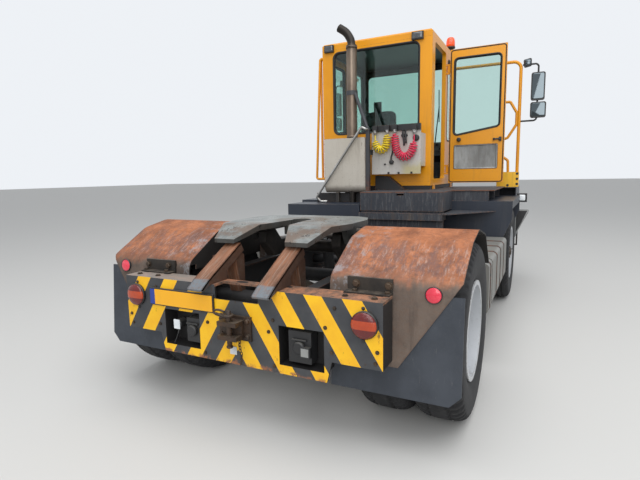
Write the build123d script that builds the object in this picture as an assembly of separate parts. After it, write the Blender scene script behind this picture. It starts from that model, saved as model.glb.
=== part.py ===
# Terminal tractor: a short two-axle yard tractor with a one-seat cab set to the
# left, a lifting fifth wheel between bent steel rear fenders and a striped rear
# cross-member. All lengths are millimetres. Along X they are measured forward
# from the rear axle, Y is to the left of the middle plane and Z is up from the
# ground. save() moves each piece to the final frame, whose origin lies on the
# ground at the middle of the vehicle's length.
import os
from math import hypot, radians, tan

from build123d import *

os.makedirs("parts", exist_ok=True)

# Overall
wheelbase = 3000.0
front_overhang = 1400.0
rear_overhang = 870.0
rear_axle_x = -(front_overhang + wheelbase - rear_overhang) / 2
seat_gap = 0.3          # between faces of pieces that move past each other
pin_play = 0.08         # radial play of a pin in its bore

# Tyres and rims (12 R 22.5 class)
tyre_radius = 536.0
tyre_width = 285.0
rim_radius = 281.0
rim_wall = 10.0
rim_width = 260.0
rim_flange_radius = 302.0
rear_tyre_outer_y = 1225.0
twin_spacing = 325.0
front_tyre_outer_y = 1215.0
hub_bore_radius = 45.0
hub_radius = 105.0
drum_radius = 205.0

# Frame rails
rail_outer_y = 430.0
rail_flange = 75.0
rail_wall = 9.0
rail_top_z = 843.0
rail_height = 250.0
rail_front_x = wheelbase + 1230.0
member_radius = 55.0
member_z = 690.0
ramp_member_x = -400.0

# Rear cross-member: a bent plate with a top flange and two socket pockets
member_x = -724.0
member_plate = 12.0
member_half_width = 879.0
member_top_z = rail_top_z + member_plate
member_end_z = 507.0
member_low_z = 389.0
member_low_half_width = 600.0
member_flange_depth = 150.0
notch_half_width = 150.0
notch_z = 770.0
notch_depth = 85.0
pocket_y = (280.0, 556.0)
pocket_z = (440.0, 665.0)
pocket_depth = 100.0
pocket_wall = 6.0
lamp_radius = 72.0
lamp_y = 785.0
lamp_z = 735.0

# Rear fenders and mudflaps
fender_y = (509.0, 1221.0)
fender_sheet = 8.0
fender_top_z = 1146.0
fender_bend = (-534.0, 925.0)
fender_low = (-572.0, 470.0)
fender_cut_y = 905.0
fender_cut_z = 935.0
fender_wall_z = 872.0
flap_thickness = 10.0
flap_low_z = 310.0
flap_outer_y = 1232.0
reflector_radius = 43.0
reflector_y = 1083.0
reflector_z = 871.0

# Fifth wheel, its lift boom and the guide ramps
kingpin_x = 80.0
plate_top_z = 1165.0
plate_thickness = 38.0
plate_half_width = 457.0
horn_drop = 78.0
kingpin_bore_radius = 25.7
lock_height = 60.0
tilt_pin_z = 1052.0
tilt_pin_radius = 24.0
tilt_ear_y = (346.0, 386.0)
boom_pivot = (1350.0, 930.0)
boom_pivot_radius = 30.0
boom_y = (265.0, 330.0)
cylinder_foot = (950.0, 600.0)
cylinder_eye = (850.0, 945.0)
cylinder_y = 190.0
cylinder_radius = 48.0
cylinder_pin_radius = 20.0
rod_radius = 28.0
eye_play = 6.0
ramp_y = 225.0
ramp_width = 112.0
ramp_plate = 14.0
ramp_depth = 62.0
ramp_tip = (-rear_overhang, 803.0)
ramp_bend = (-750.0, 885.0)
ramp_end = (-390.0, 1080.0)

# Axles and steering
kingpin_y = 880.0
steer_pin_radius = 20.0
boss_half_height = 70.0
steer_arm = 210.0
tie_rod_radius = 16.0
pinion_x = 330.0
shaft_y = -20.0
gearbox_x = 2215.0
gearbox_z = tyre_radius + 20

# Cab
cab_x = (2590.0, 4010.0)
cab_y = (-340.0, 1030.0)
cab_floor_z = 1336.0
cab_roof_z = 3080.0
cab_wall = 50.0
floor_thickness = 50.0
roof_thickness = 80.0
window_radius = 70.0
glass = 6.0
door_thickness = 42.0
door_x = (2700.0, 3368.0)
door_z = (1350.0, 3010.0)
door_swing = 90.0
hinge_x = 3390.0
hinge_pin_radius = 9.0
hinge_heights = (1520.0, 2780.0)

# Deck and lower body
deck_z = 1290.0
deck_plate = 10.0
deck_rear_x = 1880.0
deck_y = (-630.0, 260.0)
body_half_width = 1200.0
body_sheet = 8.0
arch_half_length = 625.0
arch_top_z = 1165.0
nose_front_x = wheelbase + 1290.0
front_fender_y = 1245.0

ALONG = (Align.CENTER, Align.CENTER, Align.MIN)


def block(x, y, z):
    """A box between two corners, each range given as (low, high)."""
    size = [abs(b - a) for a, b in (x, y, z)]
    middle = [(a + b) / 2 for a, b in (x, y, z)]
    return Pos(*middle) * Box(*size)


def outline_face(points, corner):
    face = Polygon(*points, align=None)
    return fillet(face.vertices(), corner) if corner else face


def side_plate(points, y, corner=0.0):
    """An outline in X and Z, extruded from y[0] to y[1]."""
    face = Plane.XZ.offset(-y[1]) * outline_face(points, corner)
    return extrude(face, y[1] - y[0], dir=(0, -1, 0))


def cross_plate(points, x, corner=0.0):
    """An outline in Y and Z, extruded from x[0] to x[1]."""
    face = Plane.YZ.offset(x[0]) * outline_face(points, corner)
    return extrude(face, x[1] - x[0], dir=(1, 0, 0))


def flat_plate(points, z, corner=0.0):
    """An outline in X and Y, extruded from z[0] to z[1]."""
    face = Plane.XY.offset(z[0]) * outline_face(points, corner)
    return extrude(face, z[1] - z[0], dir=(0, 0, 1))


def bar(start, end, radius):
    """A round bar between two points."""
    a, b = Vector(*start), Vector(*end)
    return Plane(origin=a, z_dir=b - a) * Cylinder(radius, (b - a).length, align=ALONG)


def cross_bar(x, z, y, radius):
    """A round bar along Y from y[0] to y[1]."""
    return bar((x, y[0], z), (x, y[1], z), radius)


def bent_radii(points, share=0.45):
    """The arc at each inner corner: a share of the shorter run over the half turn's tangent."""
    radii = []
    for a, b, c in zip(points, points[1:], points[2:]):
        run_in, run_out = Vector(*b) - Vector(*a), Vector(*c) - Vector(*b)
        half_turn = radians(run_in.get_angle(run_out)) / 2
        radii.append(share * min(run_in.length, run_out.length) / tan(half_turn))
    return radii


def pipe(points, radius, bend=None):
    """A round tube along straight runs joined by arcs."""
    path = FilletPolyline(*points, radius=bend if bend else bent_radii(points))
    return sweep((path ^ 0) * Circle(radius), path=path)


def rear_window(y, z, x, corner):
    """A window-shaped block with rounded corners, through x[0] to x[1]."""
    face = RectangleRounded(y[1] - y[0], z[1] - z[0], corner)
    face = Pos((y[0] + y[1]) / 2, (z[0] + z[1]) / 2) * face
    return extrude(Plane.YZ.offset(x[0]) * face, x[1] - x[0])


def side_window(x, z, y, corner):
    """The same in a side wall, through y[0] to y[1]."""
    face = RectangleRounded(x[1] - x[0], z[1] - z[0], corner)
    face = Pos((x[0] + x[1]) / 2, (z[0] + z[1]) / 2) * face
    return extrude(Plane.XZ.offset(-y[1]) * face, y[1] - y[0])


def turned(profile, y=0.0, x=0.0, z=0.0):
    """A profile of (along Y, radius) points, turned about a Y axis through x, z and set at y."""
    return Pos(x, y, z) * revolve(Plane.YZ * Polygon(*profile, align=None), Axis.Y)


def mirrored(shape):
    """The same piece on the other side of the middle plane."""
    return mirror(shape, Plane.XZ)


def save(node, *pieces):
    """Writes one node: solids that stand apart, in the final frame."""
    moved = [Pos(rear_axle_x, 0, 0) * piece for piece in pieces]
    solids = [solid for piece in moved for solid in piece.solids()]
    shape = solids[0] if len(solids) == 1 else Compound(children=solids)
    export_step(shape, f"parts/{node}.step")


# Frame

def frame_rails():
    low, outer, inner = rail_top_z - rail_height, rail_outer_y, rail_outer_y - rail_flange
    web = rail_outer_y - rail_wall
    outline = [(outer, low), (outer, rail_top_z), (inner, rail_top_z),
               (inner, rail_top_z - rail_wall), (web, rail_top_z - rail_wall),
               (web, low + rail_wall), (inner, low + rail_wall), (inner, low)]
    rear = member_x + member_plate + pocket_depth + 8
    rail = cross_plate(outline, (rear, rail_front_x)) + boom_bracket()
    save("frame_rails", rail, mirrored(rail))


def frame_members():
    web = rail_outer_y - rail_wall
    tubes = [cross_bar(x, member_z, (-web, web), member_radius)
             for x in (ramp_member_x, 420.0, 1600.0, 2150.0, 4100.0)]
    foot_x, foot_z = cylinder_foot
    tube_x = foot_x + 130
    foot = cross_bar(tube_x, member_z, (-web, web), 42)
    ears = [side * cylinder_y + ear for side in (-1, 1) for ear in (-60, 60)]
    for y in ears:
        foot += side_plate([(foot_x - 30, foot_z - 30), (foot_x + 40, foot_z - 30),
                            (tube_x + 30, member_z - 20), (tube_x, member_z + 30),
                            (tube_x - 40, member_z + 10), (foot_x - 30, foot_z + 30)],
                           (y - 8, y + 8))
    for side in (-1, 1):
        foot += cross_bar(foot_x, foot_z, (side * cylinder_y - 66, side * cylinder_y + 66),
                          cylinder_pin_radius)
    save("frame_members", *tubes, foot)


def boom_bracket():
    """The plate that stands on a rail and carries the lift boom's pivot."""
    x, z = boom_pivot
    plate = side_plate([(x - 110, rail_top_z), (x + 110, rail_top_z), (x + 50, z + 55),
                        (x - 50, z + 55)], (rail_outer_y - rail_flange + 4, rail_outer_y - 36))
    return plate - cross_bar(x, z, (300, 450), boom_pivot_radius + pin_play)


def rear_crossmember():
    w, lw = member_half_width, member_low_half_width
    outline = [(-w, member_end_z), (-lw, member_end_z), (-lw + 30, member_low_z),
               (lw - 30, member_low_z), (lw, member_end_z), (w, member_end_z),
               (w, member_top_z), (-w, member_top_z)]
    front = member_x + member_plate
    body = cross_plate(outline, (member_x, front))
    body += block((member_x, member_x + member_flange_depth), (-w, w), (rail_top_z, member_top_z))
    body -= block((member_x - 1, member_x + notch_depth), (-notch_half_width, notch_half_width),
                  (notch_z, member_top_z + 1))
    for side in (-1, 1):
        y = sorted(side * v for v in pocket_y)
        body += block((front, front + pocket_depth), (y[0] - pocket_wall, y[1] + pocket_wall),
                      (pocket_z[0] - pocket_wall, pocket_z[1] + pocket_wall))
        body -= block((member_x - 1, front + pocket_depth - pocket_wall), y, pocket_z)
        end = sorted((side * w, side * (w - member_plate)))
        body += block((front, member_x + member_flange_depth), end, (member_end_z, rail_top_z))
    save("rear_crossmember", body)


def rear_fenders():
    line = FilletPolyline((560.0, 850.0), (330.0, 1080.0), (9.0, fender_top_z), (-223.0, 1101.0),
                          fender_bend, fender_low, radius=[160.0, 200.0, 200.0, 90.0])
    band = make_face(offset(line, amount=fender_sheet, side=Side.LEFT).edges())
    sheet = extrude(Plane.XZ.offset(-fender_y[1]) * band, fender_y[1] - fender_y[0],
                    dir=(0, -1, 0))
    sheet -= cross_plate([(fender_cut_y, fender_low[1] - 5), (fender_y[1] + 1, fender_cut_z),
                          (fender_y[1] + 1, fender_low[1] - 5)], (-600.0, -400.0))
    under = make_face(line.edges() + [Line(line @ 1, line @ 0)])
    wall = extrude(Plane.XZ.offset(-fender_y[0] - fender_sheet) * under, fender_sheet,
                   dir=(0, -1, 0))
    wall -= block((-700, 700), (fender_y[0] - 1, fender_y[0] + 20), (300, fender_wall_z))
    wall -= block((fender_bend[0] - 60, -470), (fender_y[0] - 1, fender_y[0] + 20), (300, 905))
    body = sheet + wall
    for x in (-260.0, 330.0):
        body += block((x - 40, x + 40), (rail_outer_y, fender_y[0] + fender_sheet), (780, 935))
    foot_rear = member_x + member_flange_depth - 30
    body += block((foot_rear, fender_bend[0] - 2), (620, 760), (member_top_z, member_top_z + 8))
    body += block((fender_bend[0] - 16, fender_bend[0] + 2), (620, 760), (member_top_z, 915))
    save("rear_fenders", body, mirrored(body))


def fender_face_x(z):
    """The leaning rear face of the fender at a height."""
    (x0, z0), (x1, z1) = fender_bend, fender_low
    return x0 + (x1 - x0) * (z0 - z) / (z0 - z1)


def mudflaps():
    front = fender_sheet + 2 * seat_gap
    top, low = fender_bend[1] - 60, flap_low_z
    points = [(fender_face_x(top) + front, top), (fender_face_x(low) + front, low),
              (fender_face_x(low) + front + flap_thickness, low),
              (fender_face_x(top) + front + flap_thickness, top)]
    flap = side_plate(points, (fender_y[0] + 14, flap_outer_y))
    round_corner = cross_plate([(flap_outer_y - 60, low - 1), (flap_outer_y + 1, low + 60),
                                (flap_outer_y + 1, low - 1)], (-700, -450))
    flap -= round_corner
    save("mudflaps", flap, mirrored(flap))


def rear_lamps():
    lamps = []
    for side in (-1, 1):
        lamps.append(bar((member_x - 34, side * lamp_y, lamp_z), (member_x, side * lamp_y, lamp_z),
                         lamp_radius))
        x, z = fender_face_x(reflector_z), reflector_z
        lean = (fender_low[0] - fender_bend[0]) / (fender_low[1] - fender_bend[1])
        lamps.append(bar((x - 12, side * reflector_y, z + 12 * lean),
                         (x - seat_gap, side * reflector_y, z), reflector_radius))
    save("rear_lamps", *lamps)


def tow_coupling():
    x = member_x
    body = block((x - 14, x), (-105, 115), (548, 690))
    body += block((x - 95, x - 14), (-60, 70), (566, 590))
    body += block((x - 95, x - 14), (-60, 70), (648, 672))
    body += block((x - 40, x - 14), (-60, 70), (566, 672))
    body += bar((x - 68, 5, 548), (x - 68, 5, 700), 15)
    body += bar((x - 68, 5, 690), (x - 68, 95, 706), 9)
    save("tow_coupling", body)


def ramps():
    (tx, tz), (bx, bz), (ux, uz) = ramp_tip, ramp_bend, ramp_end
    length = hypot(ux - bx, uz - bz)
    dx, dz = (ux - bx) / length, (uz - bz) / length
    down = (dz, -dx)

    def below(point, depth, along=0.0):
        return (point[0] + down[0] * depth + dx * along, point[1] + down[1] * depth + dz * along)

    outer = [(tx, tz), (bx, bz), (ux, uz), below(ramp_end, ramp_depth),
             below(ramp_bend, ramp_depth), (tx + 8, tz - ramp_plate)]
    inner = [below(ramp_bend, ramp_plate), below(ramp_end, ramp_plate, 40),
             below(ramp_end, 2 * ramp_depth, 40), below(ramp_bend, 2 * ramp_depth)]
    half, web = ramp_width / 2, ramp_width / 2 - 10
    ramp = side_plate(outer, (ramp_y - half, ramp_y + half))
    ramp -= side_plate(inner, (ramp_y - web, ramp_y + web))
    ramp -= block((member_x, member_x + member_flange_depth), (0, 400), (700, member_top_z))
    leg_top = uz - (ux - ramp_member_x) * dz / dx - ramp_plate
    leg = block((ramp_member_x - 20, ramp_member_x + 20), (ramp_y - web, ramp_y + web),
                (member_z, leg_top))
    leg -= cross_bar(ramp_member_x, member_z, (0, 400), member_radius + seat_gap)
    ramp += leg
    save("ramps", ramp, mirrored(ramp))


# Axles and wheels

def twin_middle_y():
    return rear_tyre_outer_y - (tyre_width + twin_spacing) / 2


def rear_axle():
    z, end = tyre_radius, twin_middle_y() + 85
    bowl = [(-250, 0), (-250, 78), (-150, 170), (-40, 205), (60, 205), (160, 165), (250, 78),
            (250, 0)]
    housing = turned(bowl, z=z)
    housing += cross_bar(0, z, (-600, 600), 56)
    housing += cross_bar(0, z, (-end, end), hub_bore_radius - pin_play)
    for side in (-1, 1):
        housing += cross_bar(0, z, sorted((side * 610, side * 600)), drum_radius - 20)
        housing += block((-110, 110), sorted((side * 370, side * 425)),
                         (z, rail_top_z - rail_height))
    pinion = bar((0, shaft_y, gearbox_z), (pinion_x, shaft_y, gearbox_z), 85)
    save("rear_axle", housing + pinion)


def drive_shaft():
    shaft = bar((pinion_x + seat_gap, shaft_y, gearbox_z), (gearbox_x - seat_gap, shaft_y,
                                                            gearbox_z), 42)
    for x in (pinion_x + seat_gap, gearbox_x - 26 - seat_gap):
        shaft += bar((x, shaft_y, gearbox_z), (x + 26, shaft_y, gearbox_z), 64)
    save("drive_shaft", shaft)


def tyre(centre_y, x):
    half, rim_half = tyre_width / 2, rim_width / 2 - rim_wall - 2
    r = rim_radius + seat_gap
    side = [(rim_half, r), (rim_half, rim_flange_radius + 2), (half - 6, 345), (half, 420),
            (half - 5, 490), (half - 24, tyre_radius - 9), (half - 45, tyre_radius)]
    profile = [(-y, radius) for y, radius in side] + [(y, radius) for y, radius in side[::-1]]
    return turned(profile, y=centre_y, x=x, z=tyre_radius)


def rim_profile(centre, disc, face):
    """A rim's barrel round its centre, and its disc's plane at disc, towards face (1 or -1)."""
    half = rim_width / 2
    inner = rim_radius - rim_wall
    barrel = [(centre - half, inner), (centre + half, inner), (centre + half, rim_flange_radius),
              (centre + half - 8, rim_flange_radius), (centre + half - 12, rim_radius),
              (centre - half + 12, rim_radius), (centre - half + 8, rim_flange_radius),
              (centre - half, rim_flange_radius)]
    plate = [(disc, hub_radius - 5), (disc + face * 14, hub_radius - 5),
             (disc + face * 14, 225), (disc + face * 50, inner + 2), (disc + face * 34, inner + 2),
             (disc, 240)]
    return barrel, plate


def wheel_rear(side):
    name = "left" if side > 0 else "right"
    middle = twin_middle_y()
    centres = [middle + twin_spacing / 2, middle - twin_spacing / 2]
    tyres = [tyre(side * y, 0) for y in centres]
    save(f"tyres_rear_{name}", *tyres)
    rims = None
    for centre, face in zip(centres, (1, -1)):
        for profile in rim_profile(centre, middle, face):
            ring = turned([(side * y, r) for y, r in profile], z=tyre_radius)
            rims = ring if rims is None else rims + ring
    hub = [(middle - 90, hub_bore_radius), (middle + 90, hub_bore_radius), (middle + 90, 0),
           (middle + 104, 0), (middle + 104, 82), (middle + 60, 96), (middle + 20, hub_radius),
           (middle - 90, hub_radius)]
    drum = [(middle - 90, hub_radius - 5), (middle - 60, hub_radius - 5),
            (middle - 60, drum_radius), (615 + 5, drum_radius), (615 + 5, drum_radius - 14),
            (middle - 90, drum_radius - 14)]
    for profile in (hub, drum):
        rims += turned([(side * y, r) for y, r in profile], z=tyre_radius)
    save(f"rims_rear_{name}", rims)


def wheel_front(side):
    name = "left" if side > 0 else "right"
    centre = front_tyre_outer_y - tyre_width / 2
    save(f"tyre_front_{name}", tyre(side * centre, wheelbase))
    rim = None
    disc = centre + 62
    hub = [(centre - 72, hub_bore_radius), (disc + 40, hub_bore_radius), (disc + 40, 0),
           (disc + 54, 0), (disc + 54, 74), (disc + 14, hub_radius), (centre - 72, hub_radius)]
    for profile in (*rim_profile(centre, disc, -1), hub):
        ring = turned([(side * y, r) for y, r in profile], x=wheelbase, z=tyre_radius)
        rim = ring if rim is None else rim + ring
    save(f"rim_front_{name}", rim)


def front_axle():
    z, web = tyre_radius - 10, 430.0
    beam = cross_plate([(-kingpin_y, z - 55), (-web, z - 105), (web, z - 105),
                        (kingpin_y, z - 55), (kingpin_y, z + 45), (web, z), (-web, z),
                        (-kingpin_y, z + 45)], (wheelbase - 42, wheelbase + 42))
    for side in (-1, 1):
        boss = bar((wheelbase, side * kingpin_y, z - boss_half_height),
                   (wheelbase, side * kingpin_y, z + boss_half_height), 46)
        beam += boss
        beam -= bar((wheelbase, side * kingpin_y, z - 100), (wheelbase, side * kingpin_y, z + 100),
                    steer_pin_radius + pin_play)
    save("front_axle", beam)


def front_springs():
    low, y = tyre_radius - 10, (362.0, 424.0)
    top = rail_top_z - rail_height
    x = wheelbase
    leaves = side_plate([(x - 560, top - 34), (x - 260, low + 12), (x - 90, low),
                         (x + 90, low), (x + 260, low + 12), (x + 560, top - 34),
                         (x + 560, top - 18), (x + 280, low + 40), (x + 90, low + 42),
                         (x - 90, low + 42), (x - 280, low + 40), (x - 560, top - 18)], y)
    for end in (-1, 1):
        leaves += block(sorted((x + end * 560, x + end * 500)), y, (top - 30, top))
    save("front_springs", leaves, mirrored(leaves))


def knuckle(side):
    z, x = tyre_radius - 10, wheelbase
    y = kingpin_y
    reach = boss_half_height + seat_gap
    centre = front_tyre_outer_y - tyre_width / 2
    body = block((x - 44, x + 44), (y + 52, y + 78), (z - reach - 34, z + reach + 34))
    for low, high in ((reach, reach + 34), (-reach - 34, -reach)):
        body += block((x - 40, x + 40), (y, y + 78), (z + low, z + high))
        body += bar((x, y, z + low), (x, y, z + high), 40)
    body += bar((x, y, z - reach - 34), (x, y, z + reach + 34), steer_pin_radius)
    body += cross_bar(x, tyre_radius, (y + 60, centre + 62 + 30), hub_bore_radius - pin_play)
    body += block((x - steer_arm, x - 30), (y - 22, y + 22), (z - reach - 34, z - reach - 8))
    body += bar((x - steer_arm, y, z - reach - 34), (x - steer_arm, y, z - reach - 8), 26)
    name = "left" if side > 0 else "right"
    save(f"knuckle_{name}", body if side > 0 else mirrored(body))


def tie_rod():
    z = tyre_radius - 10 - boss_half_height - 8 + tie_rod_radius + 3
    x = wheelbase - steer_arm
    rod = cross_bar(x, z, (-kingpin_y, kingpin_y), tie_rod_radius)
    for side in (-1, 1):
        rod += bar((x, side * kingpin_y, z - tie_rod_radius - 3),
                   (x, side * kingpin_y, z + tie_rod_radius + 3), 27)
    save("tie_rod", rod)


# Fifth wheel and its lift

def fifth_wheel():
    k, w, top = kingpin_x, plate_half_width, plate_top_z
    half_outline = [(k + 362, 250), (k + 262, 405), (k + 110, w), (k - 160, w), (k - 380, 402),
                    (k - 555, 338), (k - 555, 186), (k - 330, 92), (k - 40, 62)]
    outline = half_outline + [(x, -y) for x, y in half_outline[::-1]]
    low = top - plate_thickness
    side = [(k + 362, low), (k + 362, top - 18), (k + 330, top), (k - 370, top),
            (k - 555, top - horn_drop), (k - 555, top - horn_drop - 26), (k - 370, low)]
    plate = side_plate(side, (-w - 1, w + 1)) & flat_plate(outline, (900, 1300))
    plate -= bar((k, 0, low - 1), (k, 0, top + 1), 68)
    for y in (-1, 1):
        ear = side_plate([(k - 95, low), (k + 95, low), (k + 40, tilt_pin_z - 40),
                          (k - 40, tilt_pin_z - 40)], sorted(y * v for v in tilt_ear_y))
        ear -= cross_bar(k, tilt_pin_z, (y * 300 - 150, y * 300 + 150), tilt_pin_radius + pin_play)
        plate += ear
        plate += block((k - 330, k + 300), sorted((y * 205, y * 219)), (low - 34, low))
    plate += block((k + 286, k + 300), (-219, 219), (low - 34, low))
    save("fifth_wheel", plate)


def fifth_wheel_lock():
    k, top = kingpin_x, plate_top_z - plate_thickness
    lock = block((k - 95, k + 110), (-90, 90), (top - lock_height, top))
    lock -= bar((k, 0, top - lock_height - 1), (k, 0, top + 1), kingpin_bore_radius)
    handle = bar((k + 60, -88, top - 42), (k + 60, -196, top - 42), 10)
    save("fifth_wheel_lock", lock + handle)


def lift_boom():
    (px, pz), k = boom_pivot, kingpin_x
    ex, ez = cylinder_eye
    boom = None
    for side in (-1, 1):
        arm = side_plate([(px + 62, pz - 50), (px + 62, pz + 40), (px - 40, pz + 62),
                          (k + 150, pz + 62), (k + 66, tilt_pin_z + 30), (k - 60, tilt_pin_z + 30),
                          (k - 70, tilt_pin_z - 60), (k + 40, pz - 50)],
                         sorted(side * v for v in boom_y), corner=20)
        arm += cross_bar(k, tilt_pin_z, sorted((side * 300, side * (tilt_ear_y[1] + 6))),
                         tilt_pin_radius)
        boom = arm if boom is None else boom + arm
    reach = rail_outer_y - 30
    boom += cross_bar(px, pz, (-reach, reach), boom_pivot_radius)
    boom += cross_bar(ex, ez, (-boom_y[1] + 30, boom_y[1] - 30), 24)
    boom += cross_bar(k + 290, pz, (-boom_y[1] + 30, boom_y[1] - 30), 46)
    save("lift_boom", boom)


def cylinder_plane(y):
    """The plane of a lift cylinder: its Z runs from the foot pin to the eye."""
    (fx, fz), (ex, ez) = cylinder_foot, cylinder_eye
    return Plane(origin=(fx, y, fz), x_dir=(0, 1, 0), z_dir=(ex - fx, 0, ez - fz))


def cylinder_length():
    (fx, fz), (ex, ez) = cylinder_foot, cylinder_eye
    return hypot(ex - fx, ez - fz)


def lift_cylinders():
    barrels, rods = [], []
    length = cylinder_length()
    eye_radius = 24 + eye_play + 14
    for side in (-1, 1):
        y = side * cylinder_y
        plane = cylinder_plane(y)
        top = length - eye_radius - 8
        barrel = plane * (Pos(0, 0, 36) * Cylinder(cylinder_radius, top - 36, align=ALONG))
        barrel += cross_bar(*cylinder_foot, (y - 36, y + 36), 40)
        barrel -= cross_bar(*cylinder_foot, (y - 80, y + 80), cylinder_pin_radius + pin_play)
        barrel -= plane * (Pos(0, 0, 54) * Cylinder(rod_radius + pin_play, length, align=ALONG))
        rod = plane * (Pos(0, 0, 60) * Cylinder(rod_radius, length - eye_radius - 60 + 10,
                                                 align=ALONG))
        rod += cross_bar(*cylinder_eye, (y - 26, y + 26), eye_radius)
        rod -= cross_bar(*cylinder_eye, (y - 80, y + 80), 24 + eye_play)
        barrels.append(barrel)
        rods.append(rod)
    save("lift_barrels", *barrels)
    save("lift_rods", *rods)


# Deck and lower body

def rear_deck():
    y0, y1 = deck_y
    x0, x1 = deck_rear_x, wheelbase - arch_half_length - body_sheet - 7
    deck = block((x0, x1), (y0, y1), (1090, deck_z)) - block(
        (x0 + body_sheet, x1 - body_sheet), (y0 + body_sheet, y1 - body_sheet),
        (1089, deck_z - deck_plate))
    deck -= block((x0 - 1, x0 + 20), (-225, -145), (1252, 1270))
    deck += block((x0 - 50, x0 + 150), (y0, y1), (1000, 1070)) - block(
        (x0 - 42, x0 + 150), (y0 + body_sheet, y1 - body_sheet), (999, 1062))
    deck += block((x0 + 20, x0 + 28), (y0, y1), (rail_top_z, 1091))
    for side in (-1, 1):
        y = sorted((side * 355, side * 347))
        if side > 0:
            y = (252, 260)
        deck += block((x0 + 20, x1 - 150), y, (rail_top_z, 1091))
    deck += flat_plate([(x0 - 30, y0), (x0 - 30, y0 - 60), (2360, -1080), (2360, y0)],
                       (1060, 1070))
    deck += block((2375, 3640), (-1060, y0 + 20), (deck_z - deck_plate, deck_z))
    deck += block((x1 - 60, 3640), (y0, cab_y[0] - 5), (deck_z - deck_plate, deck_z))
    deck += block((x1 - 60, cab_x[0] - 5), (y0, y1), (deck_z - deck_plate, deck_z))
    for x in (2420, 3000, 3560):
        deck += block((x - 30, x + 30), (-1000, -560), (arch_top_z + body_sheet,
                                                       deck_z - deck_plate))
    save("rear_deck", deck)


def side_tanks():
    z = (400.0, 795.0)
    front = wheelbase - arch_half_length - 30
    tanks = []
    for x0, x1, side in ((790.0, 1010.0, -1), (1050.0, front, -1), (900.0, front, 1)):
        y = sorted((side * 690, side * body_half_width))
        box = block((x0, x1), y, z)
        box = fillet(box.edges().filter_by(Axis.X), 38)
        for x in (x0 + 50, x1 - 50):
            box += block((x - 22, x + 22), sorted((side * rail_outer_y, side * 692)), (640, 760))
        tanks.append(box)
    save("side_tanks", *tanks, left_box())


def left_box():
    box = block((deck_rear_x, wheelbase - arch_half_length - 15), (270, 1180), (860, 1150))
    box = fillet(box.edges().filter_by(Axis.Z), 20)
    box += block((1950, 2300), (350, 425), (rail_top_z, 861))
    return box


def front_fenders():
    x0, x1 = wheelbase - arch_half_length, wheelbase + arch_half_length
    s = body_sheet
    fender = block((x0, x1), (rail_outer_y + 50, front_fender_y), (arch_top_z, arch_top_z + s))
    fender += block((x0, x1), (front_fender_y - s, front_fender_y), (1095, arch_top_z + s))
    end = [(rail_outer_y, 620), (1090, 620), (front_fender_y, 985),
           (front_fender_y, arch_top_z + s), (rail_outer_y, arch_top_z + s)]
    for x in ((x0 - s, x0), (x1, x1 + s)):
        fender += cross_plate(end, x)
    save("front_fenders", fender, mirrored(fender))


def nose():
    x0, x1, w, s = wheelbase + arch_half_length + body_sheet, nose_front_x, body_half_width, body_sheet
    z = (620.0, deck_z - 10)
    shell = block((x0, x1), (-w, w), z) - block((x0 - 1, x1 - s), (-w + s, w - s), (600, z[1] - s))
    grille_y, grille_z = (-360.0, 360.0), (830.0, 1190.0)
    shell -= block((x1 - s - 1, x1 + 1), grille_y, grille_z)
    shell -= block((x1 - s - 1, x1 + 1), (-440, 440), (600, 745))
    shell -= block((x0 - 1, 3900), (-440, 440), (z[1] - s - 1, z[1] + 1))
    for step in range(9):
        height = grille_z[0] + 20 + step * 40
        shell += block((x1 - s - 14, x1 - 4), (grille_y[0] - 5, grille_y[1] + 5),
                       (height, height + 12))
    for y in (-120.0, 120.0):
        shell += block((x1 - s - 14, x1 - s), (y - 6, y + 6), (grille_z[0] - 5, grille_z[1] + 5))
    for side in (-1, 1):
        for low, high in ((700.0, 900.0), (960.0, 1160.0)):
            shell -= block((x0 + 130, x1 - 130), sorted((side * (w - 20), side * (w + 1))),
                           (low, high))
            shell += block((x0 + 120, x1 - 120), sorted((side * (w - 150), side * w)),
                           (low - 12, low))
    save("nose", shell)


def front_bumper():
    front, rear = wheelbase + front_overhang, nose_front_x + 4
    w = body_half_width
    outline = [(rear, -w), (rear, w), (front - 60, w), (front, w - 140), (front, -w + 140),
               (front - 60, -w)]
    bumper = flat_plate(outline, (430.0, 740.0))
    bumper -= block((rear - 1, front - 14), (-w + 20, w - 20), (444.0, 726.0))
    for side in (-1, 1):
        bumper -= block((front - 30, front + 1), sorted((side * 720, side * 960)), (520.0, 650.0))
        bumper += block((rail_front_x, front - 10), sorted((side * 355, side * 425)),
                        (605.0, 720.0))
    bumper += bar((front - 60, 0, 440), (front - 60, 0, 730), 30)
    save("front_bumper", bumper)


def lamps():
    x = wheelbase + front_overhang
    lamp = block((x - 70, x - 14), (712, 968), (512, 658))
    lamp = fillet(lamp.edges().filter_by(Axis.X), 18)
    rear = cab_x[0]
    roof = [block((rear - 34, rear), y, (2972, 3056)) for y in ((870, 990), (-239, -107))]
    save("lamps", lamp, mirrored(lamp), *roof)


def engine():
    block_y = rail_outer_y - rail_flange - 12
    body = block((2600, 3480), (-block_y, block_y), (610, 1215))
    body += bar((gearbox_x, shaft_y, gearbox_z), (2610, shaft_y, gearbox_z), 130)
    for x in (2900, 3380):
        body += block((x - 40, x + 40), (-rail_outer_y + 20, rail_outer_y - 20),
                      (rail_top_z, rail_top_z + 50))
    radiator = block((4100 + member_radius + seat_gap, 4226), (-345, 345), (690, 1230))
    save("engine", body, radiator)


# Cab

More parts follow.
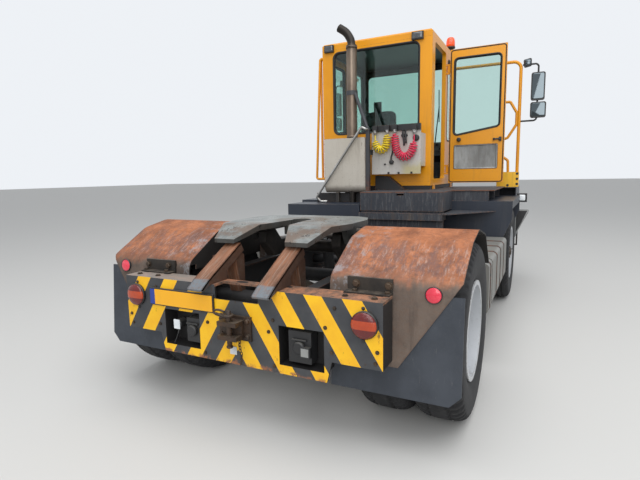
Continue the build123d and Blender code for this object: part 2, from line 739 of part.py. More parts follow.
def cab_floor():
    floor = block(cab_x, cab_y, (cab_floor_z, cab_floor_z + floor_thickness))
    for x in (cab_x[0] + 160, cab_x[1] - 200):
        for y in (-300.0, 300.0):
            floor += block((x - 45, x + 45), (y - 45, y + 45), (1260.0, cab_floor_z))
    for x in (cab_x[0] + 160, cab_x[1] - 200):
        for y in (-390.0, 390.0):
            floor += block((x - 40, x + 40), sorted((y - 35, y + 35)), (rail_top_z, 1262.0))
            floor += block((x - 40, x + 40), sorted((y, y * 0.7)), (1230.0, 1262.0))
    save("cab_floor", floor)


def cab_roof():
    roof = block(cab_x, cab_y, (cab_roof_z - roof_thickness, cab_roof_z))
    roof = chamfer(roof.edges().group_by(Axis.Z)[-1], 22)
    save("cab_roof", roof)


def wall_z():
    return cab_floor_z + floor_thickness, cab_roof_z - roof_thickness


def cab_rear():
    wall = block((cab_x[0], cab_x[0] + cab_wall), cab_y, wall_z())
    wall -= rear_window((-190, 880), (1980, 2960), (cab_x[0] - 1, cab_x[0] + 60), window_radius)
    save("cab_rear", wall)


def cab_front():
    wall = block((cab_x[1] - cab_wall, cab_x[1]), cab_y, wall_z())
    wall -= rear_window((-265, 955), (1820, 2930), (cab_x[1] - 60, cab_x[1] + 1), window_radius)
    save("cab_front", wall)


def cab_side(side):
    """A side wall with its door opening and the fixed window ahead of it."""
    y = (cab_y[0], cab_y[0] + cab_wall) if side < 0 else (cab_y[1] - cab_wall, cab_y[1])
    x = (cab_x[0] + cab_wall, cab_x[1] - cab_wall)
    wall = block(x, y, wall_z())
    through = (y[0] - 1, y[1] + 1)
    wall -= side_window((door_x[0] + 25, door_x[1] - 25), (1410, 2965), through, 40)
    wall -= side_window((3460, 3900), (1900, 2920), through, 60)
    hinge_y = y[0] - 26 if side < 0 else y[1] + 26
    for z in hinge_heights:
        for low, high in ((z - 62, z - 41), (z + 41, z + 62)):
            wall += block((hinge_x - 14, hinge_x + 14), sorted((hinge_y, y[0] if side < 0 else y[1])),
                          (low, high))
            wall += bar((hinge_x, hinge_y, low), (hinge_x, hinge_y, high), 16)
        wall += bar((hinge_x, hinge_y, z - 62), (hinge_x, hinge_y, z + 62), hinge_pin_radius)
    return wall


def cab_sides():
    save("cab_sides", cab_side(-1), cab_side(1))


def cab_windows():
    x = (cab_x[0] + 20, cab_x[0] + 20 + glass)
    panes = [rear_window((-190, 880), (1980, 2960), x, window_radius)]
    x = (cab_x[1] - 26, cab_x[1] - 20)
    panes.append(rear_window((-265, 955), (1820, 2930), x, window_radius))
    for y in ((cab_y[0] + 20, cab_y[0] + 26), (cab_y[1] - 26, cab_y[1] - 20)):
        panes.append(side_window((3460, 3900), (1900, 2920), y, 60))
    save("cab_windows", *panes)


def door(side):
    """The door in its closed place, with the hinge barrels on its edge, and its pane."""
    wall_y = cab_y[0] if side < 0 else cab_y[1]
    y = sorted((wall_y + side * 5, wall_y + side * (5 + door_thickness)))
    hinge_y = wall_y + side * 26
    leaf = block(door_x, y, door_z)
    pane = [(door_x[0] + 62, 2042), (door_x[1] - 55, 1948), (door_x[1] - 55, 2900),
            (door_x[0] + 62, 2900)]
    leaf -= side_plate(pane, (y[0] - 1, y[1] + 1), corner=45)
    middle = (y[0] + y[1]) / 2
    window = side_plate(pane, (middle - glass / 2, middle + glass / 2), corner=45)
    panel = side_window((door_x[0] + 70, door_x[1] - 60), (1520, 1830),
                        sorted((wall_y + side * 4, wall_y + side * 17)), 20)
    leaf -= panel
    for z in hinge_heights:
        barrel = bar((hinge_x, hinge_y, z - 40), (hinge_x, hinge_y, z + 40), 16)
        barrel += block((door_x[1] - 6, hinge_x), sorted((hinge_y, hinge_y + side * 14)),
                        (z - 40, z + 40))
        barrel -= bar((hinge_x, hinge_y, z - 41), (hinge_x, hinge_y, z + 41),
                      hinge_pin_radius + pin_play)
        leaf += barrel
    return leaf, window, hinge_y


def doors():
    for side, swing in ((-1, door_swing), (1, 0.0)):
        leaf, window, hinge_y = door(side)
        name = "left" if side > 0 else "right"
        turn = Pos(hinge_x, hinge_y, 0) * Rot(0, 0, swing) * Pos(-hinge_x, -hinge_y, 0)
        save(f"door_{name}", turn * leaf)
        save(f"door_window_{name}", turn * window)


def seat():
    x, y, floor = 3080.0, 345.0, cab_floor_z + floor_thickness
    base = block((x - 190, x + 190), (y - 190, y + 190), (floor, floor + 60))
    base += block((x - 130, x + 130), (y - 130, y + 130), (floor + 60, floor + 300))
    base += block((x - 210, x + 220), (y - 200, y + 200), (floor + 300, floor + 345))
    base += side_plate([(x - 335, floor + 300), (x - 190, floor + 300), (x - 190, floor + 345),
                        (x - 322, floor + 345), (x - 365, floor + 960), (x - 395, floor + 960)],
                       (300.0, 390.0))
    save("seat_base", base)
    low = floor + 345 + seat_gap
    cushion = block((x - 180, x + 250), (y - 235, y + 235), (low, low + 110))
    cushion = fillet(cushion.edges(), 35)
    back = side_plate([(x - 330.2, low + 122), (x - 200, low + 122), (x - 275, low + 720),
                       (x - 372, low + 720)], (y - 225, y + 225), corner=30)
    save("seat_cushions", cushion, back)


def dashboard():
    floor = cab_floor_z + floor_thickness
    front = cab_x[1] - cab_wall - seat_gap
    console = side_plate([(front, floor), (front, floor + 500), (front - 130, floor + 520),
                          (front - 300, floor + 400), (front - 300, floor + 330),
                          (front - 160, floor + 250), (front - 160, floor)], (-230.0, 900.0))
    column = bar((front - 180, 345, floor + 380), (front - 333, 345, floor + 645), 28)
    save("dashboard", console + column)
    plane = Plane(origin=(front - 333, 345, floor + 645), z_dir=(-153, 0, 265))
    wheel = plane * Torus(205, 15)
    wheel += plane * Cylinder(48, 26, align=ALONG)
    for angle in (90, 210, 330):
        spoke = Rot(0, 0, angle) * block((30, 200), (-14, 14), (4, 16))
        wheel += plane * spoke
    save("steering_wheel", wheel)


# Fittings

def exhaust():
    x, y, shelf = 2302.0, 520.0, 1268.0
    muffler = extrude(Plane.XY.offset(1350) * Pos(x, y) * RectangleRounded(124, 300, 60), 530)
    stack = bar((x, y, 1150), (x, y, 1355), 38) + bar((x, y, 1875), (x, y, 2940), 60)
    tip = pipe([(x, y, 2890), (x, y, 2990), (x, y + 60, 3090), (x, y + 150, 3150)], 46)
    save("exhaust_pipe", muffler + stack + tip)
    line = FilletPolyline((2355, shelf), (2225, shelf), (2225, 1900), radius=90)
    band = make_face(offset(line, amount=4, side=Side.RIGHT).edges())
    shield = extrude(Plane.XZ.offset(-850) * band, 515, dir=(0, -1, 0))
    for side_y in ((335.0, 339.0), (846.0, 850.0)):
        shield += side_plate([(2224, 1360), (2255, 1280), (2300, shelf), (2330, shelf),
                              (2330, 1896), (2224, 1896)], side_y)
    shield += block((2300, 2340), (700, 740), (1150, shelf + 1))
    shield -= bar((x, y, 1200), (x, y, 1340), 38 + seat_gap)
    save("exhaust_shield", shield)
    post_y = 312.0
    post = block((2240, 2285), (post_y - 22, post_y + 18), (1150, 2000))
    strut = bar((2262, post_y, 1985), (2272, y - 52, 2400), 20)
    clamp = bar((x, y, 2385), (x, y, 2435), 68) - bar((x, y, 2384), (x, y, 2436), 60 + seat_gap)
    strut -= bar((x, y, 2300), (x, y, 2500), 62)
    save("exhaust_post", post + strut + clamp)


def handrail():
    rail = pipe([(2240, 312, 1985), (2195, 312, 1985), (2190, 360, 2012), (2190, 947, 1215),
                 (2212, 900, 1164), (2250, 840, 1164)], 14, 20)
    save("handrail", rail)


def coil_ends():
    """The two fittings of each air line: (Y, Z of the line's end)."""
    return {"yellow": ((245.0, 1955.0), (100.0, 1955.0)),
            "red": ((10.0, 1955.0), (-212.0, 1940.0))}


coil_x = 2322.0
coil_radius = 37.0
fitting_radius = 17.0


def hose_panel():
    panel = block((2375, 2381), (-275, 335 - 30), (1475, 1960))
    panel += block((2352, 2381), (-275, 290), (1960, 2030))
    for y in (-275.0, 284.0):
        panel += block((2380, cab_x[0]), (y, y + 6), (1560, 1930))
    for ends in coil_ends().values():
        for y, z in ends:
            panel += bar((2375, y, z + 30), (coil_x, y, z + 30), fitting_radius)
            panel += bar((coil_x, y, z), (coil_x, y, z + 46), fitting_radius)
    panel += block((2285, 2381), (290, 300), (1700, 1760))
    save("hose_panel", panel)


def air_lines():
    """Two curly air lines, each hanging in a U between its two fittings."""
    routes = {
        "yellow": [(245, 1955), (245, 1835), (212, 1752), (135, 1752), (100, 1835), (100, 1955)],
        "red": [(10, 1955), (10, 1830), (-15, 1725), (-67, 1665), (-137, 1665), (-192, 1725),
                (-212, 1825), (-212, 1940)],
    }
    for name, route in routes.items():
        points = [(coil_x, y, z) for y, z in route]
        save(f"air_line_{name}", pipe(points, coil_radius))


def beacon():
    x, y, z = 3860.0, -290.0, cab_roof_z
    lamp = bar((x, y, z), (x, y, z + 70), 52) + bar((x, y, z + 70), (x, y, z + 215), 62)
    save("beacon", lamp)


def guard_frames():
    """The tube frames and grab rails beside the cab."""
    x, r = 3780.0, 20.0
    frame = pipe([(x, cab_y[0], 2860), (x, -1190, 2860), (x, -1190, 1470)], r, 90)
    base = block((x - 40, x + 40), (-1215, -946), (deck_z - 10, 1475))
    loop = pipe([(x, -965, 1900), (x, -965, 2370), (x, -1080, 2370), (x, -1160, 2230),
                 (x, -1160, 2080), (x, -1060, 1915), (x, -965, 1890)], 17, 30)
    stem = pipe([(x, -960, 1900), (x, -945, 1716), (x, -1074, 1627), (x, -1080, 1470)], 17, 40)
    save("guard_frame_right", frame + base + loop + stem)
    left = pipe([(x, cab_y[1], 2860), (x, 1190, 2860), (x, 1190, deck_z - 10)], r, 60)
    rails = [pipe([(bx, cab_y[1], 2920), (bx, by, 2920), (bx, by + lean, 1430),
                   (bx, cab_y[1], 1430)], 15, 25)
             for bx, by, lean in ((2612.0, 1075.0, 75.0), (2652.0, 1082.0, 0.0))]
    save("guard_frame_left", left, *rails)


def mirrors():
    x = 3780.0
    sets = []
    for side in (-1, 1):
        tube_y = 1190 + 20
        arms = pipe([(x, side * tube_y, 2810), (x, side * 1392, 2810), (x, side * 1392, 2117),
                     (x, side * tube_y, 2117)], 11, 40)
        main = block((x - 40, x + 30), sorted((side * 1315, side * 1475)), (2365, 2700))
        main = fillet(main.edges().filter_by(Axis.X), 25)
        low = block((x - 40, x + 30), sorted((side * 1315, side * 1496)), (2150, 2340))
        low = fillet(low.edges().filter_by(Axis.X), 25)
        sets.append(arms + main + low)
    save("mirrors", *sets)


frame_rails()
frame_members()
rear_crossmember()
rear_fenders()
mudflaps()
rear_lamps()
tow_coupling()
ramps()
rear_axle()
drive_shaft()
for hand in (1, -1):
    wheel_rear(hand)
    wheel_front(hand)
    knuckle(hand)
front_axle()
front_springs()
tie_rod()
fifth_wheel()
fifth_wheel_lock()
lift_boom()
lift_cylinders()
rear_deck()
side_tanks()
front_fenders()
nose()
front_bumper()
lamps()
engine()
cab_floor()
cab_roof()
cab_rear()
cab_front()
cab_sides()
cab_windows()
doors()
seat()
dashboard()
exhaust()
handrail()
hose_panel()
air_lines()
beacon()
guard_frames()
mirrors()
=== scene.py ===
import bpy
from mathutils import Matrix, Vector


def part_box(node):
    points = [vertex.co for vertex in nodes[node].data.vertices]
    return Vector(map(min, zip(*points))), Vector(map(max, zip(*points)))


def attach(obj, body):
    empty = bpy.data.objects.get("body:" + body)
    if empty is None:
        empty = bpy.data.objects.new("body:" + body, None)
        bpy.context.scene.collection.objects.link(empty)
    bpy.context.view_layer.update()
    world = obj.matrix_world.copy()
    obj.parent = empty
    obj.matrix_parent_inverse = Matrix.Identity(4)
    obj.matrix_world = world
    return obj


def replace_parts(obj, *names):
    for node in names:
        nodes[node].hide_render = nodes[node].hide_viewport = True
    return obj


bl_info = {
    "name": "Terminal tractor",
    "version": (1, 0, 0),
    "blender": (4, 5, 0),
    "location": "View3D > Sidebar > Tractor",
    "description": "Paint, rust, tyres, glass, coiled air lines and fittings for a terminal tractor",
    "category": "Add Mesh",
}

from math import cos, pi, sin

import bmesh
import bpy
import numpy as np
from mathutils import Matrix, Vector, geometry

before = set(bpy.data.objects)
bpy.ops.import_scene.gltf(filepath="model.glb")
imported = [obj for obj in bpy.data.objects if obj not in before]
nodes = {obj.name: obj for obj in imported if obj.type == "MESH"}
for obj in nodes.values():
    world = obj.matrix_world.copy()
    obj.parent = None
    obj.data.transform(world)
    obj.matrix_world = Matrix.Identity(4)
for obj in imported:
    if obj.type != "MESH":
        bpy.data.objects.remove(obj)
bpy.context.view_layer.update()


def middle(node):
    """The centre of a CAD node's box."""
    low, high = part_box(node)
    return (low + high) / 2


# Driving sizes, in metres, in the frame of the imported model
rear_axle_x = round(float(middle("tyres_rear_left")[0]), 4)
front_axle_x = round(float(middle("tyre_front_left")[0]), 4)
tyre_radius, tyre_half_width = 0.536, 0.1425
bead_radius, bead_inner_radius, bead_y = 0.303, 0.284, 0.118
tread_lugs = 58
axle_z = tyre_radius
rear_wall_y, front_wall_y, twin_spacing = 1.225, 1.215, 0.325
rear_disc_y, front_disc_y = 0.934, 1.1345
member_face_x = rear_axle_x - 0.724
stripe_top_z = 0.835
cab_floor_z = 1.386
panel_x, panel_top_z = rear_axle_x + 2.375, 1.960
cab_inside = ((rear_axle_x + 2.6395, rear_axle_x + 3.9605), (-0.2905, 0.9805), (1.3855, 3.0005))
lamp_y, lamp_z, lamp_radius = 0.785, 0.735, 0.072
reflector_y, reflector_z, reflector_radius = 1.083, 0.871, 0.040

to_back, to_front, to_top, to_bottom = (-1, 0, 0), (1, 0, 0), (0, 0, 1), (0, 0, -1)

# Every material, by the name that the pieces ask for
finishes = {}


# Colours and materials

def srgb(red, green, blue):
    """A colour written as 0 to 255 display values, as the shader's linear RGBA."""
    display = np.array([red, green, blue]) / 255
    linear = np.where(display <= 0.04045, display / 12.92, ((display + 0.055) / 1.055) ** 2.4)
    return (*[float(value) for value in linear], 1.0)


class NodeTree:
    """Adds shader nodes one by one and joins them as they are made."""

    def __init__(self, owner):
        """Works on the nodes of a material or a world."""
        owner.use_nodes = True
        self.tree = owner.node_tree

    def add(self, kind, inputs=None, **settings):
        """A node with its settings, and its inputs fed by number or name."""
        node = self.tree.nodes.new(kind)
        for key, value in settings.items():
            setattr(node, key, value)
        for key, value in (inputs or {}).items():
            self.feed(node.inputs[key], value)
        return node

    def feed(self, socket, value):
        """Joins an output to the socket, or gives it a plain value."""
        if isinstance(value, bpy.types.NodeSocket):
            self.tree.links.new(value, socket)
        else:
            socket.default_value = value

    def calc(self, operation, first, second=0.0):
        """One sum of two numbers. The short calls below name the common ones."""
        return self.add("ShaderNodeMath", {0: first, 1: second}, operation=operation).outputs[0]

    def times(self, first, second):
        return self.calc("MULTIPLY", first, second)

    def plus(self, first, second):
        return self.calc("ADD", first, second)

    def minus(self, first, second):
        return self.calc("SUBTRACT", first, second)

    def most(self, first, second):
        return self.calc("MAXIMUM", first, second)

    def below(self, first, second):
        return self.calc("LESS_THAN", first, second)

    def above(self, first, second):
        return self.calc("GREATER_THAN", first, second)

    def unsigned(self, value):
        return self.calc("ABSOLUTE", value)


class Finish(NodeTree):
    """One procedural material."""

    def __init__(self, name):
        self.material = bpy.data.materials.new(name)
        super().__init__(self.material)
        self.shader = self.tree.nodes["Principled BSDF"]
        self.place = self.add("ShaderNodeTexCoord").outputs["Object"]
        self.x, self.y, self.z = self.split(self.place)

    def split(self, vector):
        """The three figures of a vector."""
        return self.add("ShaderNodeSeparateXYZ", {0: vector}).outputs

    def noise(self, scale, detail=5.0, rough=0.6, stretch=(1, 1, 1)):
        """Cloudy noise from 0 to 1 on the object's own coordinates."""
        place = self.add("ShaderNodeMapping", {0: self.place, 3: stretch}).outputs[0]
        settings = {"Vector": place, "Scale": scale, "Detail": detail, "Roughness": rough}
        return self.add("ShaderNodeTexNoise", settings).outputs[0]

    def cells(self, scale):
        """Distance to the nearest of scattered points."""
        settings = {"Vector": self.place, "Scale": scale}
        return self.add("ShaderNodeTexVoronoi", settings).outputs["Distance"]

    def rise(self, value, low, high, start=0.0, end=1.0):
        """A smooth step from start to end while value goes from low to high."""
        settings = {"Value": value, "From Min": low, "From Max": high, "To Min": start, "To Max": end}
        return self.add("ShaderNodeMapRange", settings, interpolation_type="SMOOTHSTEP").outputs[0]

    def mix(self, share, first, second):
        """Two colours, or colour sockets, mixed by a share from 0 to 1."""
        node = self.add("ShaderNodeMix", data_type="RGBA")
        self.feed(node.inputs[0], share)
        self.feed(node.inputs[6], first)
        self.feed(node.inputs[7], second)
        return node.outputs[2]

    def clouded(self, first, second, *noise, low=0.35, high=0.65):
        """Two colours mixed in soft clouds; the figures are those of the noise."""
        return self.mix(self.rise(self.noise(*noise), low, high), first, second)

    def normal(self):
        """Which way the face looks, as three figures."""
        return self.split(self.add("ShaderNodeNewGeometry").outputs["Normal"])

    def edge(self, radius):
        """1 along sharp edges within the radius and 0 on flat faces: 1 minus the dot product of
        the rounded normal and the true one."""
        bevel = self.add("ShaderNodeBevel", {"Radius": radius}, samples=4).outputs[0]
        flat = self.add("ShaderNodeNewGeometry").outputs["Normal"]
        dot = self.add("ShaderNodeVectorMath", {0: bevel, 1: flat}, operation="DOT_PRODUCT")
        return self.rise(self.minus(1.0, dot.outputs["Value"]), 0.004, 0.06)

    def bump(self, height, distance, strength):
        """Fine relief: height from 0 to 1 stands up by the distance in metres."""
        settings = {"Height": height, "Distance": distance, "Strength": strength}
        self.feed(self.shader.inputs["Normal"], self.add("ShaderNodeBump", settings).outputs[0])

    def done(self, colour, rough, **others):
        """The material, with its colour, roughness and any other inputs by name."""
        self.feed(self.shader.inputs["Base Color"], colour)
        self.feed(self.shader.inputs["Roughness"], rough)
        for key, value in others.items():
            self.feed(self.shader.inputs[key.replace("_", " ")], value)
        return self.material


def painted(name, colour, shade, grime, dirty=0.35, rough=0.42, worn=None, low_z=0.0, high_z=3.0,
            patches=()):
    """Sprayed steel: clouds of a second shade, rain streaks, grime that thickens downwards and
    worn edges that show what lies under the paint. Each patch is another colour and the function
    that says where it lies."""
    f = Finish(name)
    clouds = f.rise(f.noise(1.7, 4), 0.35, 0.7)
    body = f.mix(f.times(clouds, 0.55), colour, shade)
    for other, where in patches:
        body = f.mix(where(f), body, other)
    streaks = f.rise(f.noise(9.0, 6, 0.7, (1, 1, 0.09)), 0.5, 0.78)
    spots = f.rise(f.noise(55.0, 8, 0.75), 0.56, 0.72)
    depth = f.rise(f.z, high_z, low_z, 0.25, 1.0)
    soil = f.times(f.most(streaks, spots), f.times(depth, dirty))
    body = f.mix(soil, body, grime)
    if worn:
        chips = f.times(f.edge(0.007), f.rise(f.noise(38.0, 6, 0.7), 0.42, 0.6))
        body = f.mix(chips, body, worn)
    gloss = f.plus(rough, f.times(soil, 0.45))
    f.bump(f.noise(260.0, 3, 0.5), 0.0004, 0.35)
    return f.done(body, gloss)


def inside_cab(f):
    """1 on the faces that look into the cab, which are trimmed in dark grey."""
    share = 1.0
    for place, (low, high) in zip((f.x, f.y, f.z), cab_inside):
        away = f.unsigned(f.minus(place, (low + high) / 2))
        share = f.times(share, f.below(away, (high - low) / 2))
    return share


def proud_of_panel(f):
    """1 on the tray and the fittings that stand out from the hose panel."""
    return f.most(f.below(f.x, panel_x - 0.0015), f.above(f.z, panel_top_z + 0.0005))


def shield_soil(f):
    """Dark spots and short runs on the exhaust's shield, and brown at its bottom bend."""
    low = f.times(f.rise(f.plus(f.z, f.times(f.noise(11.0), 0.12)), 1.42, 1.32), 0.6)
    spots = f.rise(f.noise(13.0, 5, 0.55, (1, 1, 0.32)), 0.66, 0.72, 0.0, 0.8)
    return f.most(low, spots)


def under_shield(f):
    """1 on the shield's legs, which are black with soot."""
    return f.below(f.z, 1.262)


def bracket_box(f):
    """1 on the bright box at the foot of the right tube frame."""
    return f.times(f.below(f.y, -0.944),
                   f.times(f.below(f.z, 1.476),
                           f.above(f.x, rear_axle_x + 3.735)))


def deck_scuffs(f):
    """Pale upright scuffs on the deck's plates."""
    return f.rise(f.noise(46.0, 9, 0.85, (1, 1, 0.12)), 0.5, 0.62, 0.0, 0.5)


def deck_edge(f):
    """A brown line along the deck's top edge."""
    edge = f.times(f.above(f.z, 1.2795), f.below(f.normal()[2], 0.6))
    return f.times(edge, f.rise(f.noise(7.0, 6), 0.38, 0.5, 0.2, 0.9))


def panel_stain(f):
    """Yellowish stains at the hose panel's lower right."""
    low = f.rise(f.plus(f.z, f.times(f.noise(14.0), 0.16)), 1.72, 1.60)
    return f.times(f.times(low, f.rise(f.y, -0.02, -0.12)), 0.55)


def low_on_post(f):
    """Reddish rust low on the exhaust's post."""
    height = f.plus(f.z, f.times(f.noise(12.0, 6), 0.22))
    return f.times(f.rise(height, 1.62, 1.40), f.rise(f.noise(30.0, 6), 0.36, 0.56))


def navy_box(f):
    """1 on the closed box beside the deck, which is painted as the body."""
    return f.times(f.above(f.x, rear_axle_x + 1.875), f.above(f.z, 0.8425))


def stripes():
    """Yellow and charcoal stripes that meet as an upturned V on the rear face of the cross-member,
    with scuffs and rust where loads have struck it, and bare rusty flanges. Below the flanges its
    other faces are near black: painted shade in its pockets and under it."""
    period, slope, share = 0.2225, 0.62, 0.49
    f = Finish("striped steel")
    fall = f.times(f.minus(stripe_top_z, f.z), slope)
    across = f.minus(f.minus(f.unsigned(f.y), fall), 0.005)
    turn = f.calc("FRACT", f.calc("DIVIDE", across, period))
    yellow = f.below(turn, share)
    clouds = f.rise(f.noise(6.0, 6), 0.3, 0.75)
    bright = f.mix(clouds, srgb(250, 196, 22), srgb(238, 176, 20))
    dark = f.mix(clouds, srgb(52, 54, 58), srgb(70, 71, 73))
    sheet = f.mix(yellow, dark, bright)
    scuffs = f.rise(f.noise(17.0, 9, 0.8, (1, 1, 0.4)), 0.6, 0.66)
    sheet = f.mix(f.times(scuffs, 0.75), sheet, srgb(74, 58, 46))
    low = f.rise(f.plus(f.z, f.times(f.noise(9.0), 0.12)), 0.475, 0.45)
    corroded = f.times(low, f.rise(f.noise(24.0, 7, 0.75), 0.47, 0.53))
    sheet = f.mix(corroded, sheet, srgb(150, 96, 62))
    rust = f.clouded(srgb(96, 78, 66), srgb(172, 118, 88), 13.0, 7, 0.7)
    rust = f.mix(f.rise(f.noise(70.0, 5, 0.7), 0.52, 0.68), rust, srgb(60, 50, 44))
    left = f.rise(f.plus(f.y, f.times(f.noise(6.0, 7, 0.75), 0.4)), 0.42, 0.56)
    rust = f.mix(f.times(left, 0.65), rust, srgb(136, 134, 128))
    rear = f.below(f.normal()[0], -0.9)
    outside = f.below(f.x, member_face_x + 0.002)
    faced = f.times(rear, outside)
    # Painted shade: below the flanges, every face but the rear face is made near black
    inner = f.times(f.below(f.z, 0.842), f.minus(1.0, faced))
    whole = f.mix(faced, rust, sheet)
    whole = f.mix(inner, whole, srgb(30, 29, 29))
    f.bump(f.noise(90.0, 6, 0.7), 0.0012, 0.5)
    return f.done(whole, f.plus(0.55, f.times(scuffs, 0.3)))


def fender_rust():
    """Fender steel: orange rust over the top, scraped bright where it bends, grey-brown skin on
    the faces that lean, and painted shade, near black, on the faces that look down or sideways."""
    f = Finish("fender rust")
    tone = f.rise(f.noise(5.0, 7, 0.7), 0.35, 0.65)
    orange = f.mix(tone, srgb(136, 82, 52), srgb(184, 116, 76))
    fine = f.rise(f.noise(60.0, 8, 0.75, (1, 0.5, 1)), 0.45, 0.7)
    orange = f.mix(f.times(fine, 0.6), orange, srgb(98, 60, 42))
    skin = f.mix(tone, srgb(88, 77, 70), srgb(112, 98, 88))
    skin = f.mix(f.times(fine, 0.35), skin, srgb(116, 86, 68))
    wobble = f.times(f.noise(7.0, 6, 0.7, (1, 2, 1)), 0.16)
    height = f.plus(f.z, wobble)
    body = f.mix(f.rise(height, 0.965, 1.045), skin, orange)
    scraped = f.rise(f.noise(26.0, 10, 0.9, (0.3, 1.4, 0.3)), 0.51, 0.6)
    band = f.times(f.rise(height, 0.99, 1.06), f.rise(height, 1.19, 1.13))
    mottle = f.rise(f.noise(9.0, 10, 0.85, (0.5, 1.2, 0.5)), 0.42, 0.55)
    body = f.mix(f.times(f.times(mottle, band), 0.75), body, srgb(108, 82, 78))
    body = f.mix(f.times(scraped, f.times(band, 0.5)), body, srgb(180, 156, 144))
    inner = f.rise(f.unsigned(f.y), 0.80, 0.60)
    bluish = f.times(f.rise(f.noise(8.0, 7, 0.75), 0.52, 0.62), f.times(inner, 0.6))
    body = f.mix(bluish, body, srgb(150, 152, 156))
    streaks = f.rise(f.noise(15.0, 6, 0.7, (1, 1, 0.08)), 0.52, 0.7)
    body = f.mix(f.times(streaks, 0.35), body, srgb(66, 54, 48))
    rim = f.times(f.edge(0.012), f.rise(f.noise(30.0), 0.4, 0.55))
    body = f.mix(f.times(rim, 0.6), body, srgb(92, 66, 52))
    # Painted shade: the faces that look sideways or down are made near black
    inside = f.above(f.unsigned(f.normal()[1]), 0.8)
    under = f.most(f.below(f.normal()[2], -0.25), inside)
    body = f.mix(under, body, srgb(38, 35, 33))
    f.bump(f.noise(130.0, 8, 0.75), 0.0018, 0.7)
    return f.done(body, f.rise(scraped, 0, 1, 0.78, 0.5), Metallic=0.15)


def ramp_rust():
    """Guide ramps: rust-brown runners with a polished bluish tip, and painted shade on their sides."""
    f = Finish("ramp rust")
    body = f.clouded(srgb(96, 66, 48), srgb(146, 98, 70), 9.0, 7, 0.7, (0.3, 1, 0.3))
    scratch = f.rise(f.noise(26.0, 8, 0.8, (0.12, 3, 0.12)), 0.5, 0.62)
    body = f.mix(f.times(scratch, 0.5), body, srgb(166, 146, 132))
    tip = f.rise(f.minus(f.x, f.times(f.noise(20.0), 0.02)),
                 rear_axle_x - 0.752, rear_axle_x - 0.764)
    worn = f.rise(f.noise(34.0, 9, 0.85), 0.4, 0.58, 0.5, 1.0)
    body = f.mix(f.times(tip, worn), body, srgb(112, 121, 128))
    # Painted shade: the faces that look sideways are darkened
    side = f.above(f.unsigned(f.normal()[1]), 0.6)
    body = f.mix(f.times(side, 0.7), body, srgb(58, 46, 40))
    f.bump(f.noise(150.0, 7, 0.7), 0.0012, 0.6)
    return f.done(body, 0.62, Metallic=0.2)


def greasy_plate(kingpin_x):
    """The fifth wheel's plate: pale worn steel with brown grease ground in round the kingpin, and
    painted shade on the faces that do not look up.
    """
    f = Finish("greasy plate")
    worn = f.clouded(srgb(112, 116, 115), srgb(146, 149, 146), 7.0, 7, 0.7)
    scratch = f.rise(f.noise(30.0, 8, 0.8, (0.15, 2.4, 1)), 0.52, 0.64)
    worn = f.mix(f.times(scratch, 0.5), worn, srgb(98, 99, 96))
    ahead = f.minus(f.x, kingpin_x)
    reach = f.calc("SQRT", f.plus(f.times(ahead, ahead), f.times(f.y, f.y)))
    reach = f.plus(reach, f.times(f.noise(8.0, 6), 0.09))
    ring = f.times(f.rise(reach, 0.10, 0.15), f.rise(reach, 0.27, 0.22))
    worn = f.mix(f.times(ring, 0.7), worn, srgb(98, 88, 74))
    horn = f.times(f.rise(ahead, -0.20, -0.32), f.rise(f.noise(6.0, 7, 0.7), 0.42, 0.56))
    worn = f.mix(f.times(horn, 0.7), worn, srgb(108, 82, 62))
    grease = f.rise(f.noise(14.0, 9, 0.75), 0.56, 0.62)
    worn = f.mix(f.times(grease, 0.8), worn, srgb(52, 49, 45))
    # Painted shade: the faces that do not look up are made dark
    side = f.below(f.normal()[2], 0.6)
    worn = f.mix(f.times(side, 0.85), worn, srgb(56, 54, 51))
    f.bump(f.noise(80.0, 7, 0.7), 0.0012, 0.6)
    return f.done(worn, f.rise(grease, 0, 1, 0.46, 0.22), Metallic=0.35)


def iron(name, colour, second, rough=0.6, metallic=0.3):
    """Cast or rolled iron with oil and road dust."""
    f = Finish(name)
    body = f.clouded(colour, second, 8.0, 7, 0.7)
    dust = f.times(f.rise(f.normal()[2], 0.2, 0.9), f.rise(f.noise(20.0, 6), 0.4, 0.6))
    body = f.mix(f.times(dust, 0.5), body, srgb(112, 101, 88))
    f.bump(f.noise(180.0, 5, 0.7), 0.001, 0.6)
    return f.done(body, rough, Metallic=metallic)


def tyre_rubber():
    """Tyre rubber: black tread, a greyer sidewall with fine rings, and pale dust in the grooves."""
    f = Finish("tyre rubber")
    away = f.minus(f.z, axle_z)
    front = f.minus(f.x, front_axle_x)
    rear = f.minus(f.x, rear_axle_x)
    along = f.calc("MINIMUM", f.unsigned(front), f.unsigned(rear))
    radius = f.calc("SQRT", f.plus(f.times(along, along), f.times(away, away)))
    body = f.clouded(srgb(26, 26, 28), srgb(38, 38, 40), 6.0, 6)
    wall = f.rise(radius, 0.50, 0.46)
    body = f.mix(f.times(wall, 0.3), body, srgb(50, 50, 52))
    dust = f.rise(f.noise(34.0, 8, 0.75), 0.5, 0.7)
    body = f.mix(f.times(dust, 0.2), body, srgb(98, 95, 90))
    rings = f.calc("SINE", f.times(radius, 900.0))
    height = f.plus(f.times(f.times(rings, wall), 0.25), f.noise(220.0, 5))
    f.bump(height, 0.0008, 0.6)
    return f.done(body, 0.82)


def rubber(name, colour, second, rough):
    """Sheet rubber with pale upright scuffs."""
    f = Finish(name)
    body = f.clouded(colour, second, 3.0, 6, 0.7, high=0.68)
    scuff = f.rise(f.noise(40.0, 8, 0.8, (1, 1, 0.25)), 0.58, 0.7)
    body = f.mix(f.times(scuff, 0.3), body, srgb(140, 137, 131))
    f.bump(f.noise(300.0, 4, 0.6), 0.0004, 0.5)
    return f.done(body, rough)


